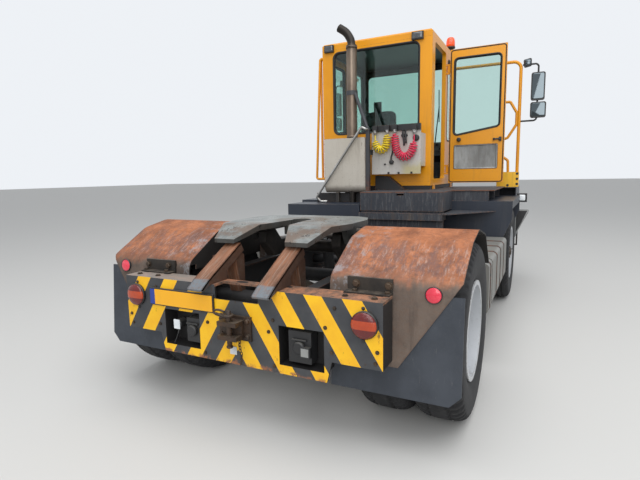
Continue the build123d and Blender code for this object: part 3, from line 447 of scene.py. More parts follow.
def bare_metal(name, colour, second, rough=0.35, soot=(), metallic=0.8):
    """Unpainted pipe or sheet with heat tints. Each pair in soot is a height where it is clean and
    one where it is black."""
    f = Finish(name)
    body = f.clouded(colour, second, 5.0, 6, 0.7, (1, 1, 0.4))
    streak = f.rise(f.noise(26.0, 7, 0.75, (1, 1, 0.1)), 0.5, 0.7)
    body = f.mix(f.times(streak, 0.4), body, srgb(92, 80, 68))
    for clean, black in soot:
        height = f.plus(f.z, f.times(f.noise(12.0), 0.05))
        body = f.mix(f.rise(height, clean, black, 0.0, 0.92), body, srgb(34, 33, 33))
    f.bump(f.noise(220.0, 4, 0.6), 0.0004, 0.4)
    return f.done(body, rough, Metallic=metallic)


def moulded(name, colour, second, rough=0.5):
    """Moulded plastic with a fine grain."""
    f = Finish(name)
    body = f.clouded(colour, second, 4.0, 5)
    dust = f.times(f.rise(f.normal()[2], 0.3, 0.95), 0.35)
    body = f.mix(dust, body, srgb(120, 117, 110))
    f.bump(f.cells(420.0), 0.0004, 0.4)
    return f.done(body, rough)


def glossy(name, colour, second, rough=0.16, glow=0.0):
    """Coloured lens or polished plastic with slight depth."""
    f = Finish(name)
    body = f.clouded(colour, second, 14.0, 4)
    f.bump(f.cells(150.0), 0.0006, 0.25)
    others = {"Coat_Weight": 0.6, "Coat_Roughness": 0.06}
    if glow:
        f.shader.inputs["Emission Color"].default_value = colour
        others["Emission_Strength"] = glow
    return f.done(body, rough, **others)


def window_glass():
    """Lightly tinted glass that keeps a film of dust."""
    f = Finish("window glass")
    dust = f.rise(f.noise(3.0, 7, 0.75), 0.42, 0.75, 0.02, 0.10)
    f.shader.inputs["Transmission Weight"].default_value = 1.0
    f.shader.inputs["IOR"].default_value = 1.45
    return f.done(f.mix(dust, srgb(192, 222, 214), srgb(158, 172, 164)), f.times(dust, 0.6))


def mirror_glass():
    """A mirror's face under a thin film of dust."""
    f = Finish("mirror glass")
    film = f.rise(f.noise(9.0, 6), 0.4, 0.8, 0.03, 0.12)
    return f.done(f.mix(film, srgb(92, 100, 104), srgb(74, 80, 84)), film, Metallic=1.0)


def woven(name, colour, second):
    """Seat cloth: two crossed sets of threads and a soft sheen."""
    f = Finish(name)
    warp = f.calc("SINE", f.times(f.y, 2600.0))
    weft = f.calc("SINE", f.times(f.plus(f.x, f.z), 2600.0))
    weave = f.rise(f.times(warp, weft), -1, 1)
    body = f.mix(weave, colour, second)
    body = f.mix(f.times(f.rise(f.noise(6.0, 6), 0.4, 0.7), 0.35), body, srgb(96, 92, 86))
    f.bump(weave, 0.0006, 0.5)
    f.shader.inputs["Sheen Weight"].default_value = 0.25
    return f.done(body, 0.9)


def coil_plastic(name, colour, second):
    """Coloured plastic of the coiled air lines, with brown dirt in spots."""
    f = Finish(name)
    body = f.clouded(colour, second, 18.0, 5)
    dirt = f.times(f.rise(f.noise(60.0, 7, 0.7), 0.55, 0.7), 0.4)
    body = f.mix(dirt, body, srgb(70, 58, 40))
    f.bump(f.noise(300.0, 3), 0.0003, 0.3)
    return f.done(body, 0.32, Coat_Weight=0.4)


# Mesh building

def sheet_faces(rows, columns, close_rows=False, close_columns=False):
    """Four-sided faces of a grid of points, numbered row by row, as one array."""
    r = np.arange(rows if close_rows else rows - 1)
    c = np.arange(columns if close_columns else columns - 1)
    a, b = np.meshgrid(r, c, indexing="ij")
    a, b = a.ravel(), b.ravel()
    a2, b2 = (a + 1) % rows, (b + 1) % columns
    return np.stack([a * columns + b, a * columns + b2, a2 * columns + b2, a2 * columns + b], axis=1)


class Shell:
    """Gathers grids of points into one mesh."""

    def __init__(self):
        """Starts empty; count is the number of points so far."""
        self.points, self.faces, self.count = [], [], 0

    def grid(self, points, close_rows=False, close_columns=False, caps=False):
        """Adds a grid of shape (rows, columns, 3); caps fills its first and last rows."""
        rows, columns = points.shape[:2]
        quads = sheet_faces(rows, columns, close_rows, close_columns) + self.count
        self.faces.extend(quads.tolist())
        if caps:
            ring = np.arange(columns)
            self.faces.append((ring + self.count).tolist())
            self.faces.append((ring[::-1] + self.count + (rows - 1) * columns).tolist())
        self.points.append(points.reshape(-1, 3))
        self.count += rows * columns
        return self

    def closed(self, points):
        """Adds a grid that closes round its columns and has its two ends filled."""
        return self.grid(points, False, True, True)

    def ring(self, points):
        """Adds a grid that closes both ways, such as a seal."""
        return self.grid(points, True, True)

    def box(self, low, high):
        """Adds a box between two corners."""
        return self.closed(block(low, high))

    def make(self, name, finish, slot, body="chassis", smooth=True, bevel=0.0):
        """Turns the grids into one piece that rides a body. A bevelled piece is shaded flat."""
        mesh = bpy.data.meshes.new(name)
        mesh.from_pydata(np.concatenate(self.points).tolist(), [], self.faces)
        mesh.validate()
        piece = bpy.data.objects.new(name, mesh)
        bpy.context.scene.collection.objects.link(piece)
        turn_outwards(mesh)
        mesh.polygons.foreach_set("use_smooth", np.full(len(mesh.polygons), smooth and not bevel))
        mesh.materials.append(finishes[finish])
        if bevel:
            soften = piece.modifiers.new("Bevel", "BEVEL")
            soften.width = bevel
            soften.segments = 2
            soften.limit_method = "ANGLE"
        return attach(piece, body)


def turn_outwards(mesh):
    """Closed shells get normals that point out."""
    work = bmesh.new()
    work.from_mesh(mesh)
    bmesh.ops.recalc_face_normals(work, faces=work.faces)
    work.to_mesh(mesh)
    work.free()


def axes_for(direction):
    """Two unit vectors that stand square on a direction, and the direction itself."""
    forward = np.array(direction, float)
    forward /= np.linalg.norm(forward)
    helper = np.array([0.0, 0.0, 1.0]) if abs(forward[2]) < 0.9 else np.array([1.0, 0.0, 0.0])
    side = np.cross(helper, forward)
    side /= np.linalg.norm(side)
    return side, np.cross(forward, side), forward


def prism(shell, outline, low, high, axis=1):
    """A flat outline carried straight along an axis from low to high, with its ends closed."""
    outline = np.array(outline, float)
    rows = [np.insert(outline, axis, place, axis=1) for place in (low, high)]
    return shell.closed(np.array(rows))


def turned(profile, centre, direction, steps=32):
    """A profile of (along, radius) points swept round an axis: centre + along * axis
    + radius * (cos * side + sin * up)."""
    side, up, forward = axes_for(direction)
    profile = np.array(profile, float)
    angle = np.linspace(0, 2 * pi, steps, endpoint=False)
    ring = np.cos(angle)[:, None] * side + np.sin(angle)[:, None] * up
    return (np.array(centre) + profile[:, 0, None, None] * forward
            + profile[:, 1, None, None] * ring[None])


def carried(path, section, up):
    """A flat section carried along a path: each section point is path + a * side + b * above,
    where side is the path's direction crossed with up."""
    path = np.array(path, float)
    section = np.array(section, float)
    run = np.gradient(path, axis=0)
    run /= np.linalg.norm(run, axis=1)[:, None]
    side = np.cross(run, np.array(up, float))
    side /= np.linalg.norm(side, axis=1)[:, None]
    above = np.cross(side, run)
    return (path[:, None] + section[None, :, 0, None] * side[:, None]
            + section[None, :, 1, None] * above[:, None])


def circle(radius, steps=12):
    """Points (radius * cos, radius * sin) round a circle."""
    angle = np.linspace(0, 2 * pi, steps, endpoint=False)
    return np.stack([radius * np.cos(angle), radius * np.sin(angle)], axis=1)


def rounded_outline(corners, radius):
    """A polygon with each corner replaced by an arc, as (n, 2) points. The arc's centre lies on
    the corner's bisector, and its ends touch the two sides."""
    corners = np.array(corners, float)
    arc_points = 8
    points = []
    for before, here, after in zip(np.roll(corners, 1, 0), corners, np.roll(corners, -1, 0)):
        a = (before - here) / np.linalg.norm(before - here)
        b = (after - here) / np.linalg.norm(after - here)
        half = np.arccos(np.clip(a @ b, -1, 1)) / 2
        start = here + a * radius / np.tan(half)
        end = here + b * radius / np.tan(half)
        centre = here + (a + b) / np.linalg.norm(a + b) * radius / np.sin(half)
        share = np.linspace(0, 1, arc_points)[:, None]
        spread = start + (end - start) * share - centre
        points.append(centre + spread / np.linalg.norm(spread, axis=1)[:, None] * radius)
    return np.concatenate(points)


def rectangle(y0, y1, z0, z1):
    """The four corners of an upright rectangle."""
    return [(y0, z0), (y1, z0), (y1, z1), (y0, z1)]


def stacked(edge, levels, axis=0):
    """Copies of a flat outline for the levels (share, place): each is drawn in to that share
    about its middle and set at that place along the axis."""
    centre = edge.mean(axis=0)
    return np.array([np.insert(centre + (edge - centre) * share, axis, place, axis=1)
                     for share, place in levels])


def block(low, high):
    """A box's six faces as a grid of four rows, for a piece that a bevel finishes."""
    low, high = np.array(low, float), np.array(high, float)
    flat = np.array([(0, 0), (1, 0), (1, 1), (0, 1)])
    rows = [np.column_stack([low[:2] + flat * (high - low)[:2], np.full(4, z)])
            for z in (low[2], high[2])]
    return np.array(rows)


# Tyres

def tyre_profile(crown_points, wall_points):
    """Half of a rounded box over the tread, y = w |cos t|^e and r = r0 + h |sin t|^e with
    e = 0.55, run down on both sides to the bead by a straight taper with a slight bulge."""
    bulge_radius = 0.425
    t = np.linspace(0, pi, crown_points)
    y = -tyre_half_width * np.sign(np.cos(t)) * np.abs(np.cos(t)) ** 0.55
    r = bulge_radius + (tyre_radius - bulge_radius) * np.sin(t) ** 0.55
    u = np.linspace(0, 1, wall_points)[1:]
    wall_y = tyre_half_width - (tyre_half_width - bead_y) * u ** 2
    wall_r = bulge_radius + (bead_radius - bulge_radius) * u
    return (np.concatenate([-wall_y[::-1], y, wall_y]), np.concatenate([wall_r[::-1], r, wall_r]))


def tread_depth(y, angle, kind, depth):
    """How deep the tread is cut at each point. Grooves run round at fixed y, those of the drive
    tyre with a zigzag, and the shoulders are cut across once a lug."""
    phase = angle * tread_lugs / (2 * pi)
    saw = 2 * np.abs((phase % 1.0) - 0.5)
    if kind == "drive":
        lines = [0.012 * (saw - 0.5), 0.056 + 0.010 * (saw - 0.5), -0.056 - 0.010 * (saw - 0.5)]
        width, cross_from, cross_width = 0.0055, 0.060, 0.30
    else:
        lines = [-0.066, -0.023, 0.023, 0.066]
        width, cross_from, cross_width = 0.0060, 0.108, 0.16
    cut = np.zeros_like(y * angle)
    for line in lines:
        cut = np.maximum(cut, np.clip((width + 0.003 - np.abs(y - line)) / 0.003, 0, 1))
    slanted = (phase + np.abs(y) * 4.0) % 1.0
    across = np.clip((cross_width / 2 + 0.07 - np.abs(slanted - 0.5)) / 0.07, 0, 1)
    across = across * np.clip((np.abs(y) - cross_from) / 0.004, 0, 1)
    return depth * np.maximum(cut, across)


def tyre_grid(centre_y, x, kind, depth):
    """The tyre's outside: the profile swept round the axle in seven steps for each lug, sunk by
    the tread depth where it is near the crown."""
    y, r = tyre_profile(72, 9)
    angle = np.linspace(0, 2 * pi, tread_lugs * 7, endpoint=False)[:, None]
    on_crown = np.clip((r - 0.482) / 0.02, 0, 1)
    radius = r - tread_depth(y[None], angle, kind, depth) * on_crown
    return np.stack([x + radius * np.cos(angle), np.broadcast_to(centre_y + y, radius.shape),
                     axle_z + radius * np.sin(angle)], axis=2)


def bead_grid(centre_y, x):
    """The hidden inner wall that closes a tyre behind its beads."""
    profile = [(-bead_y, bead_radius), (-bead_y, bead_inner_radius), (bead_y, bead_inner_radius),
               (bead_y, bead_radius)]
    return turned(profile, (x, centre_y, axle_z), (0, 1, 0), 96)


# The operators' settings

class TractorSizes(bpy.types.PropertyGroup):
    """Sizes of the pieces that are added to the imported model."""
    tread_depth: bpy.props.FloatProperty(
        name="Tread depth", description="How deep the tyres' grooves are cut", default=0.014,
        min=0.002, max=0.025, unit="LENGTH")
    seal_width: bpy.props.FloatProperty(
        name="Seal width", description="Width of the rubber round each window", default=0.026,
        min=0.01, max=0.05, unit="LENGTH")
    coil_tube: bpy.props.FloatProperty(
        name="Air line", description="Diameter of the coiled air line itself", default=0.014,
        min=0.006, max=0.02, unit="LENGTH")
    coil_pitch: bpy.props.FloatProperty(
        name="Coil pitch", description="Distance between the turns of an air line", default=0.026,
        min=0.014, max=0.05, unit="LENGTH")
    bolt_size: bpy.props.FloatProperty(
        name="Bolt size", description="Width across the head of a frame bolt", default=0.030,
        min=0.01, max=0.06, unit="LENGTH")


class TractorColours(bpy.types.PropertyGroup):
    """Paints that can be changed."""
    cab: bpy.props.FloatVectorProperty(
        name="Cab", description="Paint of the cab, doors and tube frames", subtype="COLOR",
        size=4, min=0, max=1, default=srgb(230, 154, 8))
    body: bpy.props.FloatVectorProperty(
        name="Body", description="Paint of the nose and front fenders", subtype="COLOR",
        size=4, min=0, max=1, default=srgb(36, 43, 55))
    tanks: bpy.props.FloatVectorProperty(
        name="Tanks", description="Paint of the side tanks and panels", subtype="COLOR",
        size=4, min=0, max=1, default=srgb(128, 127, 122))


def sizes():
    """The operators' sizes."""
    return bpy.context.scene.tractor_sizes


def colours():
    """The paints that can be changed."""
    return bpy.context.scene.tractor_colours


def make_finishes():
    """Every material by name, and which one each CAD node wears."""
    paint = colours()
    soil = srgb(96, 84, 66)
    rust = srgb(128, 78, 50)
    finishes["cab"] = painted("cab paint", tuple(paint.cab), srgb(214, 138, 4), soil,
                              0.38, 0.36, srgb(150, 104, 48), 1.2, 3.0,
                              [(srgb(50, 51, 54), inside_cab), (srgb(244, 190, 44), bracket_box)])
    finishes["body"] = painted("body paint", tuple(paint.body), srgb(30, 35, 44), srgb(86, 82, 78),
                               0.45, 0.42, srgb(104, 100, 96), 0.4, 1.5)
    finishes["tanks"] = painted("tank paint", tuple(paint.tanks), srgb(112, 111, 107),
                                srgb(84, 74, 62), 0.5, 0.45, srgb(96, 84, 72), 0.3, 1.3,
                                [(tuple(paint.body), navy_box)])
    finishes["panel"] = painted("pale panel", srgb(194, 188, 177), srgb(174, 166, 152),
                                srgb(92, 78, 62), 0.75, 0.5, srgb(112, 98, 82), 1.2, 2.4,
                                [(srgb(112, 96, 82), shield_soil), (srgb(52, 50, 49), under_shield)])
    finishes["hose panel"] = painted("hose panel", srgb(200, 197, 191), srgb(182, 178, 171),
                                     srgb(92, 78, 62), 0.7, 0.5, srgb(112, 98, 82), 1.2, 2.4,
                                     [(srgb(190, 176, 96), panel_stain),
                                      (srgb(31, 32, 34), proud_of_panel)])
    finishes["post"] = painted("post paint", srgb(52, 54, 59), srgb(64, 65, 69), srgb(92, 80, 68),
                               0.5, 0.5, srgb(96, 84, 74), 1.0, 2.6,
                               [(srgb(98, 64, 50), low_on_post)])
    finishes["frame"] = painted("frame paint", srgb(34, 34, 36), srgb(46, 44, 43),
                                srgb(92, 80, 68), 0.7, 0.6, rust, 0.2, 1.4)
    finishes["deck"] = painted("deck paint", srgb(44, 48, 56), srgb(60, 63, 70),
                               srgb(104, 88, 74), 0.7, 0.65, srgb(138, 98, 72), 0.8, 1.6,
                               [(srgb(112, 113, 114), deck_scuffs), (srgb(112, 74, 56), deck_edge)])
    finishes["black"] = painted("black steel", srgb(28, 28, 30), srgb(40, 39, 39),
                                srgb(96, 88, 78), 0.4, 0.45, srgb(90, 84, 78), 1.0, 3.2)
    finishes["rims"] = painted("rim paint", srgb(196, 199, 203), srgb(170, 172, 175),
                               srgb(104, 94, 80), 0.55, 0.38, srgb(120, 108, 94), 0.1, 0.9)
    finishes["plate"] = painted("plate blank", srgb(246, 178, 26), srgb(240, 168, 20),
                                srgb(120, 92, 40), 0.12, 0.3, None, 0.5, 1.0)
    finishes["band"] = painted("plate band", srgb(36, 62, 150), srgb(30, 54, 140),
                               srgb(90, 84, 70), 0.12, 0.3, None, 0.5, 1.0)
    finishes["stripes"] = stripes()
    finishes["fender"] = fender_rust()
    finishes["ramp"] = ramp_rust()
    finishes["fifth wheel"] = greasy_plate(rear_axle_x + 0.08)
    finishes["iron"] = iron("axle iron", srgb(44, 41, 39), srgb(62, 56, 50))
    finishes["casting"] = iron("coupling casting", srgb(50, 42, 36), srgb(78, 58, 44), 0.55)
    finishes["bolt"] = iron("bolt steel", srgb(58, 52, 47), srgb(92, 76, 62), 0.5, 0.6)
    finishes["tyre"] = tyre_rubber()
    finishes["flap"] = rubber("flap rubber", srgb(46, 51, 59), srgb(60, 65, 73), 0.6)
    finishes["seal"] = rubber("seal rubber", srgb(20, 20, 21), srgb(30, 30, 31), 0.55)
    finishes["pipe"] = bare_metal("exhaust steel", srgb(138, 124, 110), srgb(112, 98, 86), 0.4,
                                  ((2.86, 3.02), (1.36, 1.29)))
    finishes["galvanised"] = bare_metal("galvanised steel", srgb(150, 151, 149), srgb(122, 123, 122),
                                        0.5, (), 0.3)
    finishes["rail"] = bare_metal("rail steel", srgb(190, 190, 188), srgb(160, 158, 154), 0.32)
    finishes["chrome"] = bare_metal("rod chrome", srgb(210, 212, 214), srgb(190, 192, 195), 0.12)
    finishes["scratched"] = bare_metal("door sheet", srgb(150, 151, 149), srgb(122, 122, 120), 0.45,
                                       (), 0.55)
    finishes["plastic"] = moulded("black plastic", srgb(30, 30, 32), srgb(42, 42, 43))
    finishes["console"] = moulded("console plastic", srgb(52, 53, 56), srgb(66, 66, 68), 0.6)
    finishes["red"] = glossy("red lens", srgb(190, 24, 22), srgb(150, 14, 16))
    finishes["reflector"] = glossy("reflector", srgb(236, 62, 84), srgb(214, 40, 64), 0.2)
    finishes["beacon"] = glossy("beacon lens", srgb(250, 92, 24), srgb(236, 74, 14), 0.14, 0.15)
    finishes["clear"] = glossy("clear lens", srgb(214, 218, 220), srgb(184, 189, 192), 0.1)
    finishes["smoked"] = glossy("smoked lens", srgb(86, 90, 94), srgb(58, 61, 65), 0.16)
    # The white lens glows a little; on the trailer socket's lid, which is no lamp, that glow is painted
    # light
    finishes["white lens"] = glossy("white lens", srgb(232, 236, 238), srgb(210, 216, 220), 0.12, 0.1)
    finishes["glass"] = window_glass()
    finishes["mirror"] = mirror_glass()
    finishes["cloth"] = woven("seat cloth", srgb(44, 45, 50), srgb(70, 70, 76))
    finishes["coil_yellow"] = coil_plastic("yellow air line", srgb(240, 214, 30), srgb(222, 190, 20))
    finishes["coil_red"] = coil_plastic("red air line", srgb(230, 42, 88), srgb(204, 28, 68))
    worn_by = {
        "cab": ["cab_floor", "cab_roof", "cab_rear", "cab_front", "cab_sides", "door_left",
                "door_right", "guard_frame_left", "guard_frame_right"],
        "body": ["front_fenders", "nose"],
        "tanks": ["side_tanks"],
        "panel": ["exhaust_shield"],
        "hose panel": ["hose_panel"],
        "post": ["exhaust_post"],
        "frame": ["frame_rails", "frame_members", "front_axle", "front_springs", "front_bumper",
                  "tie_rod", "knuckle_left", "knuckle_right", "lift_barrels"],
        "deck": ["rear_deck"],
        "black": ["mirrors"],
        "rims": ["rims_rear_left", "rims_rear_right", "rim_front_left", "rim_front_right"],
        "stripes": ["rear_crossmember"],
        "fender": ["rear_fenders"],
        "ramp": ["ramps"],
        "fifth wheel": ["fifth_wheel", "fifth_wheel_lock"],
        "iron": ["rear_axle", "drive_shaft", "engine", "lift_boom"],
        "casting": ["tow_coupling"],
        "tyre": ["tyres_rear_left", "tyres_rear_right", "tyre_front_left", "tyre_front_right"],
        "flap": ["mudflaps"],
        "pipe": ["exhaust_pipe"],
        "rail": ["handrail"],
        "chrome": ["lift_rods"],
        "plastic": ["seat_base", "steering_wheel", "lamps"],
        "console": ["dashboard"],
        "red": ["rear_lamps"],
        "beacon": ["beacon"],
        "glass": ["cab_windows", "door_window_left", "door_window_right"],
        "cloth": ["seat_cushions"],
        "coil_yellow": ["air_line_yellow"],
        "coil_red": ["air_line_red"],
    }
    for finish, names in worn_by.items():
        for name in names:
            nodes[name].data.materials.clear()
            nodes[name].data.materials.append(finishes[finish])


class TRACTOR_OT_tyres(bpy.types.Operator):
    """Replaces the plain tyres with tyres that have tread, shoulders and beads"""
    bl_idname = "tractor.tyres"
    bl_label = "Tyres"

    def execute(self, context):
        depth = sizes().tread_depth
        for side, name in ((1, "left"), (-1, "right")):
            outer = side * (rear_wall_y - tyre_half_width)
            twin = Shell()
            for centre in (outer, outer - side * twin_spacing):
                twin.grid(tyre_grid(centre, rear_axle_x, "drive", depth), True)
                twin.grid(bead_grid(centre, rear_axle_x), False, True)
            piece = twin.make(f"tread_rear_{name}", "tyre", "tyre", f"wheel_rear_{name}")
            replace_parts(piece, f"tyres_rear_{name}")
            front = Shell()
            centre = side * (front_wall_y - tyre_half_width)
            front.grid(tyre_grid(centre, front_axle_x, "steer", depth), True)
            front.grid(bead_grid(centre, front_axle_x), False, True)
            piece = front.make(f"tread_front_{name}", "tyre", "tyre", f"wheel_front_{name}")
            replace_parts(piece, f"tyre_front_{name}")
        return {"FINISHED"}


# Coiled air lines

coil_routes = {
    "yellow": [(245, 1955), (245, 1835), (212, 1752), (135, 1752), (100, 1835), (100, 1955)],
    "red": [(10, 1955), (10, 1830), (-15, 1725), (-67, 1665), (-137, 1665), (-192, 1725),
            (-212, 1825), (-212, 1940)],
}
coil_x = rear_axle_x + 2.322
coil_outer_radius = 0.050
straight_leads = {"yellow": (0.085, 0.02), "red": (0.02, 0.10)}


def spline_curve(name, points, radius):
    """A curve of one NURBS spline of order 3 that reaches its end points."""
    curve = bpy.data.curves.new(name, "CURVE")
    curve.dimensions = "3D"
    spline = curve.splines.new("NURBS")
    spline.points.add(len(points) - 1)
    for point, place in zip(spline.points, points):
        point.co = (*place, 1.0)
    spline.order_u = 3
    spline.use_endpoint_u = True
    spline.resolution_u = 3
    curve.bevel_depth = radius
    curve.bevel_resolution = 3
    curve.use_fill_caps = True
    return curve


def read_line(points, spacing=0.002):
    """Points evenly spaced along the NURBS line through the control points."""
    curve = spline_curve("route", points, 0.0)
    curve.use_fill_caps = False
    curve.splines[0].resolution_u = 24
    holder = bpy.data.objects.new("route", curve)
    bpy.context.scene.collection.objects.link(holder)
    bpy.context.view_layer.update()
    mesh = bpy.data.meshes.new_from_object(holder)
    line = np.array([vertex.co for vertex in mesh.vertices])
    bpy.data.meshes.remove(mesh)
    bpy.data.objects.remove(holder)
    bpy.data.curves.remove(curve)
    run = np.concatenate([[0], np.cumsum(np.linalg.norm(np.diff(line, axis=0), axis=1))])
    even = np.linspace(0, run[-1], int(run[-1] / spacing) + 1)
    return np.stack([np.interp(even, run, line[:, i]) for i in range(3)], axis=1), even


def coil_points(route, tube, pitch, leads):
    """A helix round the route: route + r * (cos * across + sin * outwards). It starts and ends as
    a straight lead, and its radius grows and falls over a short run beside them."""
    line, run = read_line(route)
    ahead = np.gradient(line, axis=0)
    ahead /= np.linalg.norm(ahead, axis=1)[:, None]
    across = np.array([1.0, 0.0, 0.0])
    outwards = np.cross(ahead, across)
    length = run[-1]
    turns = round(length / pitch)
    per_turn = 12
    at = np.linspace(0, length, turns * per_turn + 1)
    centre = np.stack([np.interp(at, run, line[:, i]) for i in range(3)], axis=1)
    away = np.stack([np.interp(at, run, outwards[:, i]) for i in range(3)], axis=1)
    grow = np.clip(np.minimum(at - leads[0], length - leads[1] - at) / 0.05, 0, 1)
    grow = grow * grow * (3 - 2 * grow)
    radius = (coil_outer_radius - tube / 2 - 0.0005) * grow ** 0.8
    angle = 2 * pi * at / pitch
    return centre + radius[:, None] * (np.cos(angle)[:, None] * across + np.sin(angle)[:, None] * away)


def line_length(points):
    """How long the line through the control points is."""
    return float(read_line(points, 0.001)[1][-1])


class TRACTOR_OT_air_lines(bpy.types.Operator):
    """Two curly air lines that hang in a U from the panel behind the cab"""
    bl_idname = "tractor.air_lines"
    bl_label = "Air lines"

    def execute(self, context):
        tube = sizes().coil_tube
        for colour, route in coil_routes.items():
            places = [(coil_x, y / 1000, z / 1000) for y, z in route]
            points = coil_points(places, tube, sizes().coil_pitch, straight_leads[colour])
            curve = spline_curve(f"coil_{colour}", points, tube / 2)
            curve.materials.append(finishes[f"coil_{colour}"])
            piece = bpy.data.objects.new(f"coil_{colour}", curve)
            context.scene.collection.objects.link(piece)
            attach(piece, "chassis")
            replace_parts(piece, f"air_line_{colour}")
            line_length(points)
        return {"FINISHED"}


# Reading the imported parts

def solids_of(node):
    """The points of each separate solid of a CAD node, in the model's frame."""
    part = nodes[node]
    points = np.array([part.matrix_world @ vertex.co for vertex in part.data.vertices])
    whole, index = np.unique(points.round(5), axis=0, return_inverse=True)
    ends = index.ravel()[np.array([edge.vertices for edge in part.data.edges])]
    group = np.arange(len(whole))
    while True:
        low = np.minimum(group[ends[:, 0]], group[ends[:, 1]])
        spread = group.copy()
        np.minimum.at(spread, ends[:, 0], low)
        np.minimum.at(spread, ends[:, 1], low)
        spread = spread[spread]
        if (spread == group).all():
            return [whole[group == first] for first in np.unique(group)]
        group = spread


def pane_edge(points, steps=160):
    """Evenly spaced points round the edge of a flat pane at its middle plane, and its normal."""
    low, high = points.min(0), points.max(0)
    thin = int(np.argmin(high - low))
    flat = [axis for axis in range(3) if axis != thin]
    hull = geometry.convex_hull_2d(points[:, flat].tolist())
    loop = points[hull][:, flat]
    loop = np.concatenate([loop, loop[:1]])
    run = np.concatenate([[0], np.cumsum(np.linalg.norm(np.diff(loop, axis=0), axis=1))])
    even = np.linspace(0, run[-1], steps, endpoint=False)
    path = np.full((steps, 3), (low + high)[thin] / 2)
    for column, axis in enumerate(flat):
        path[:, axis] = np.interp(even, run, loop[:, column])
    return path, np.eye(3)[thin]


def framed(path, normal, section):
    """A section carried round a flat closed path: its first figure goes outwards in the plane
    and its second along the normal."""
    run = np.roll(path, -1, axis=0) - np.roll(path, 1, axis=0)
    side = np.cross(run, normal)
    side /= np.linalg.norm(side, axis=1)[:, None]
    if (side * (path - path.mean(axis=0))).sum() < 0:
        side = -side
    section = np.array(section, float)
    return (path[:, None] + section[None, :, 0, None] * side[:, None]
            + section[None, :, 1, None] * np.array(normal, float))


def spot(x, y, z):
    """A place given as in the CAD, forward from the rear axle, in the model's frame."""
    return np.array([x + rear_axle_x, y, z])


def placed(outline):
    """Outline points (x, z) given as in the CAD, forward from the rear axle."""
    return [(x + rear_axle_x, z) for x, z in outline]


def hexagon(shell, foot, direction, across, height):
    """A bolt head or nut that stands on a face, on a washer."""
    washer = [(0, across * 0.74), (across * 0.12, across * 0.74), (across * 0.12, across * 0.5)]
    shell.closed(turned(washer, foot, direction, 20))
    head = [(across * 0.1, across * 0.577), (height * 0.86, across * 0.577), (height, across * 0.5)]
    shell.closed(turned(head, foot, direction, 6))


def rod(shell, start, end, radius, steps=16):
    """A round bar with slightly rounded ends."""
    start, end = np.array(start, float), np.array(end, float)
    length = np.linalg.norm(end - start)
    ease = min(radius * 0.25, length / 4)
    profile = [(0, radius - ease), (ease, radius), (length - ease, radius), (length, radius - ease)]
    shell.closed(turned(profile, start, end - start, steps))


def tube_along(shell, points, radius):
    """A tube through points, rounded by taking them as a smooth line."""
    line, _ = read_line([tuple(point) for point in points], 0.004)
    up = (0, 0, 1) if np.ptp(line[:, 0]) + np.ptp(line[:, 1]) > 1e-4 else (1, 0, 0)
    shell.closed(carried(line, circle(radius), up))


# Glass, seals and doors

# Halves of the mirrors, for the left side: the third housing's outline, and each pane's sides
third_mirror = [(1.224, 2.772), (1.311, 2.790), (1.311, 2.884), (1.216, 2.866)]
mirror_panes = [(1.327, 1.463, 2.377, 2.688), (1.327, 1.484, 2.162, 2.328),
                (1.230, 1.301, 2.795, 2.862)]


class TRACTOR_OT_glazing(bpy.types.Operator):
    """Rubber seals round every pane and glass in the mirrors"""
    bl_idname = "tractor.glazing"
    bl_label = "Glazing"

    def execute(self, context):
        width = sizes().seal_width
        lap = width * 0.4
        for node, body, depth in (("cab_windows", "chassis", 0.023),
                                  ("door_window_left", "door_left", 0.021),
                                  ("door_window_right", "door_right", 0.021)):
            section = [(lap - width, 0.002), (lap - width, 0.007), (-0.003, depth + 0.003),
                       (lap, depth + 0.004), (lap + 0.001, depth - 0.002), (0.001, 0.002)]
            seal = Shell()
            for pane in solids_of(node):
                path, normal = pane_edge(pane)
                for face in (1, -1):
                    seal.ring(framed(path, face * normal, section))
            seal.make(f"seal_{node}", "seal", "black_plastic", body)
        face = float(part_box("mirrors")[0][0])
        levels = [(1, face + 0.006), (1, face - 0.0012), (1 - 3 / 70, face - 0.0022)]
        glass, small = Shell(), Shell()
        for side in (-1, 1):
            corners = [(side * y, z) for y, z in third_mirror]
            prism(small, rounded_outline(corners, 0.018), face + 0.004, face + 0.060, 0)
            for near, far, low, high in mirror_panes:
                corners = rectangle(*sorted((side * near, side * far)), low, high)
                glass.closed(stacked(rounded_outline(corners, 0.02), levels))
        glass.make("mirror_glass", "mirror", "window_glass")
        small.make("small_mirrors", "plastic", "black_plastic", bevel=0.006)
        return {"FINISHED"}


# A door's own frame: where its inner face crosses the hinge line, the direction along the leaf
# away from the hinge and the direction through it to its outer face
door_frames = {
    "left": (spot(3.390, 1.035, 0), (-1, 0, 0), (0, 1, 0)),
    "right": (spot(3.369, -0.366, 0), (0, -1, 0), (1, 0, 0)),
}


def on_door(points, hand):
    """Points given as (along the leaf, through it, height), put on that door."""
    origin, along, through = (np.array(item, float) for item in door_frames[hand])
    points = np.asarray(points, float)
    return (origin + points[..., :1] * along + points[..., 1:2] * through
            + points[..., 2:] * np.array([0.0, 0.0, 1.0]))


# The boxes of a door's latch, their corners as (along the leaf, through it, height)
door_boxes = [((0.560, -0.030, 1.872), (0.655, -0.018, 1.892)),
              ((0.560, -0.030, 1.868), (0.580, 0.000, 1.896)),
              ((0.626, -0.022, 1.856), (0.658, 0.000, 1.908)),
              ((0.585, 0.042, 1.560), (0.665, 0.050, 1.600)),
              ((0.580, 0.060, 1.866), (0.650, 0.072, 1.890)),
              ((0.634, 0.042, 1.866), (0.650, 0.062, 1.890)),
              ((0.580, 0.042, 1.866), (0.596, 0.062, 1.890))]
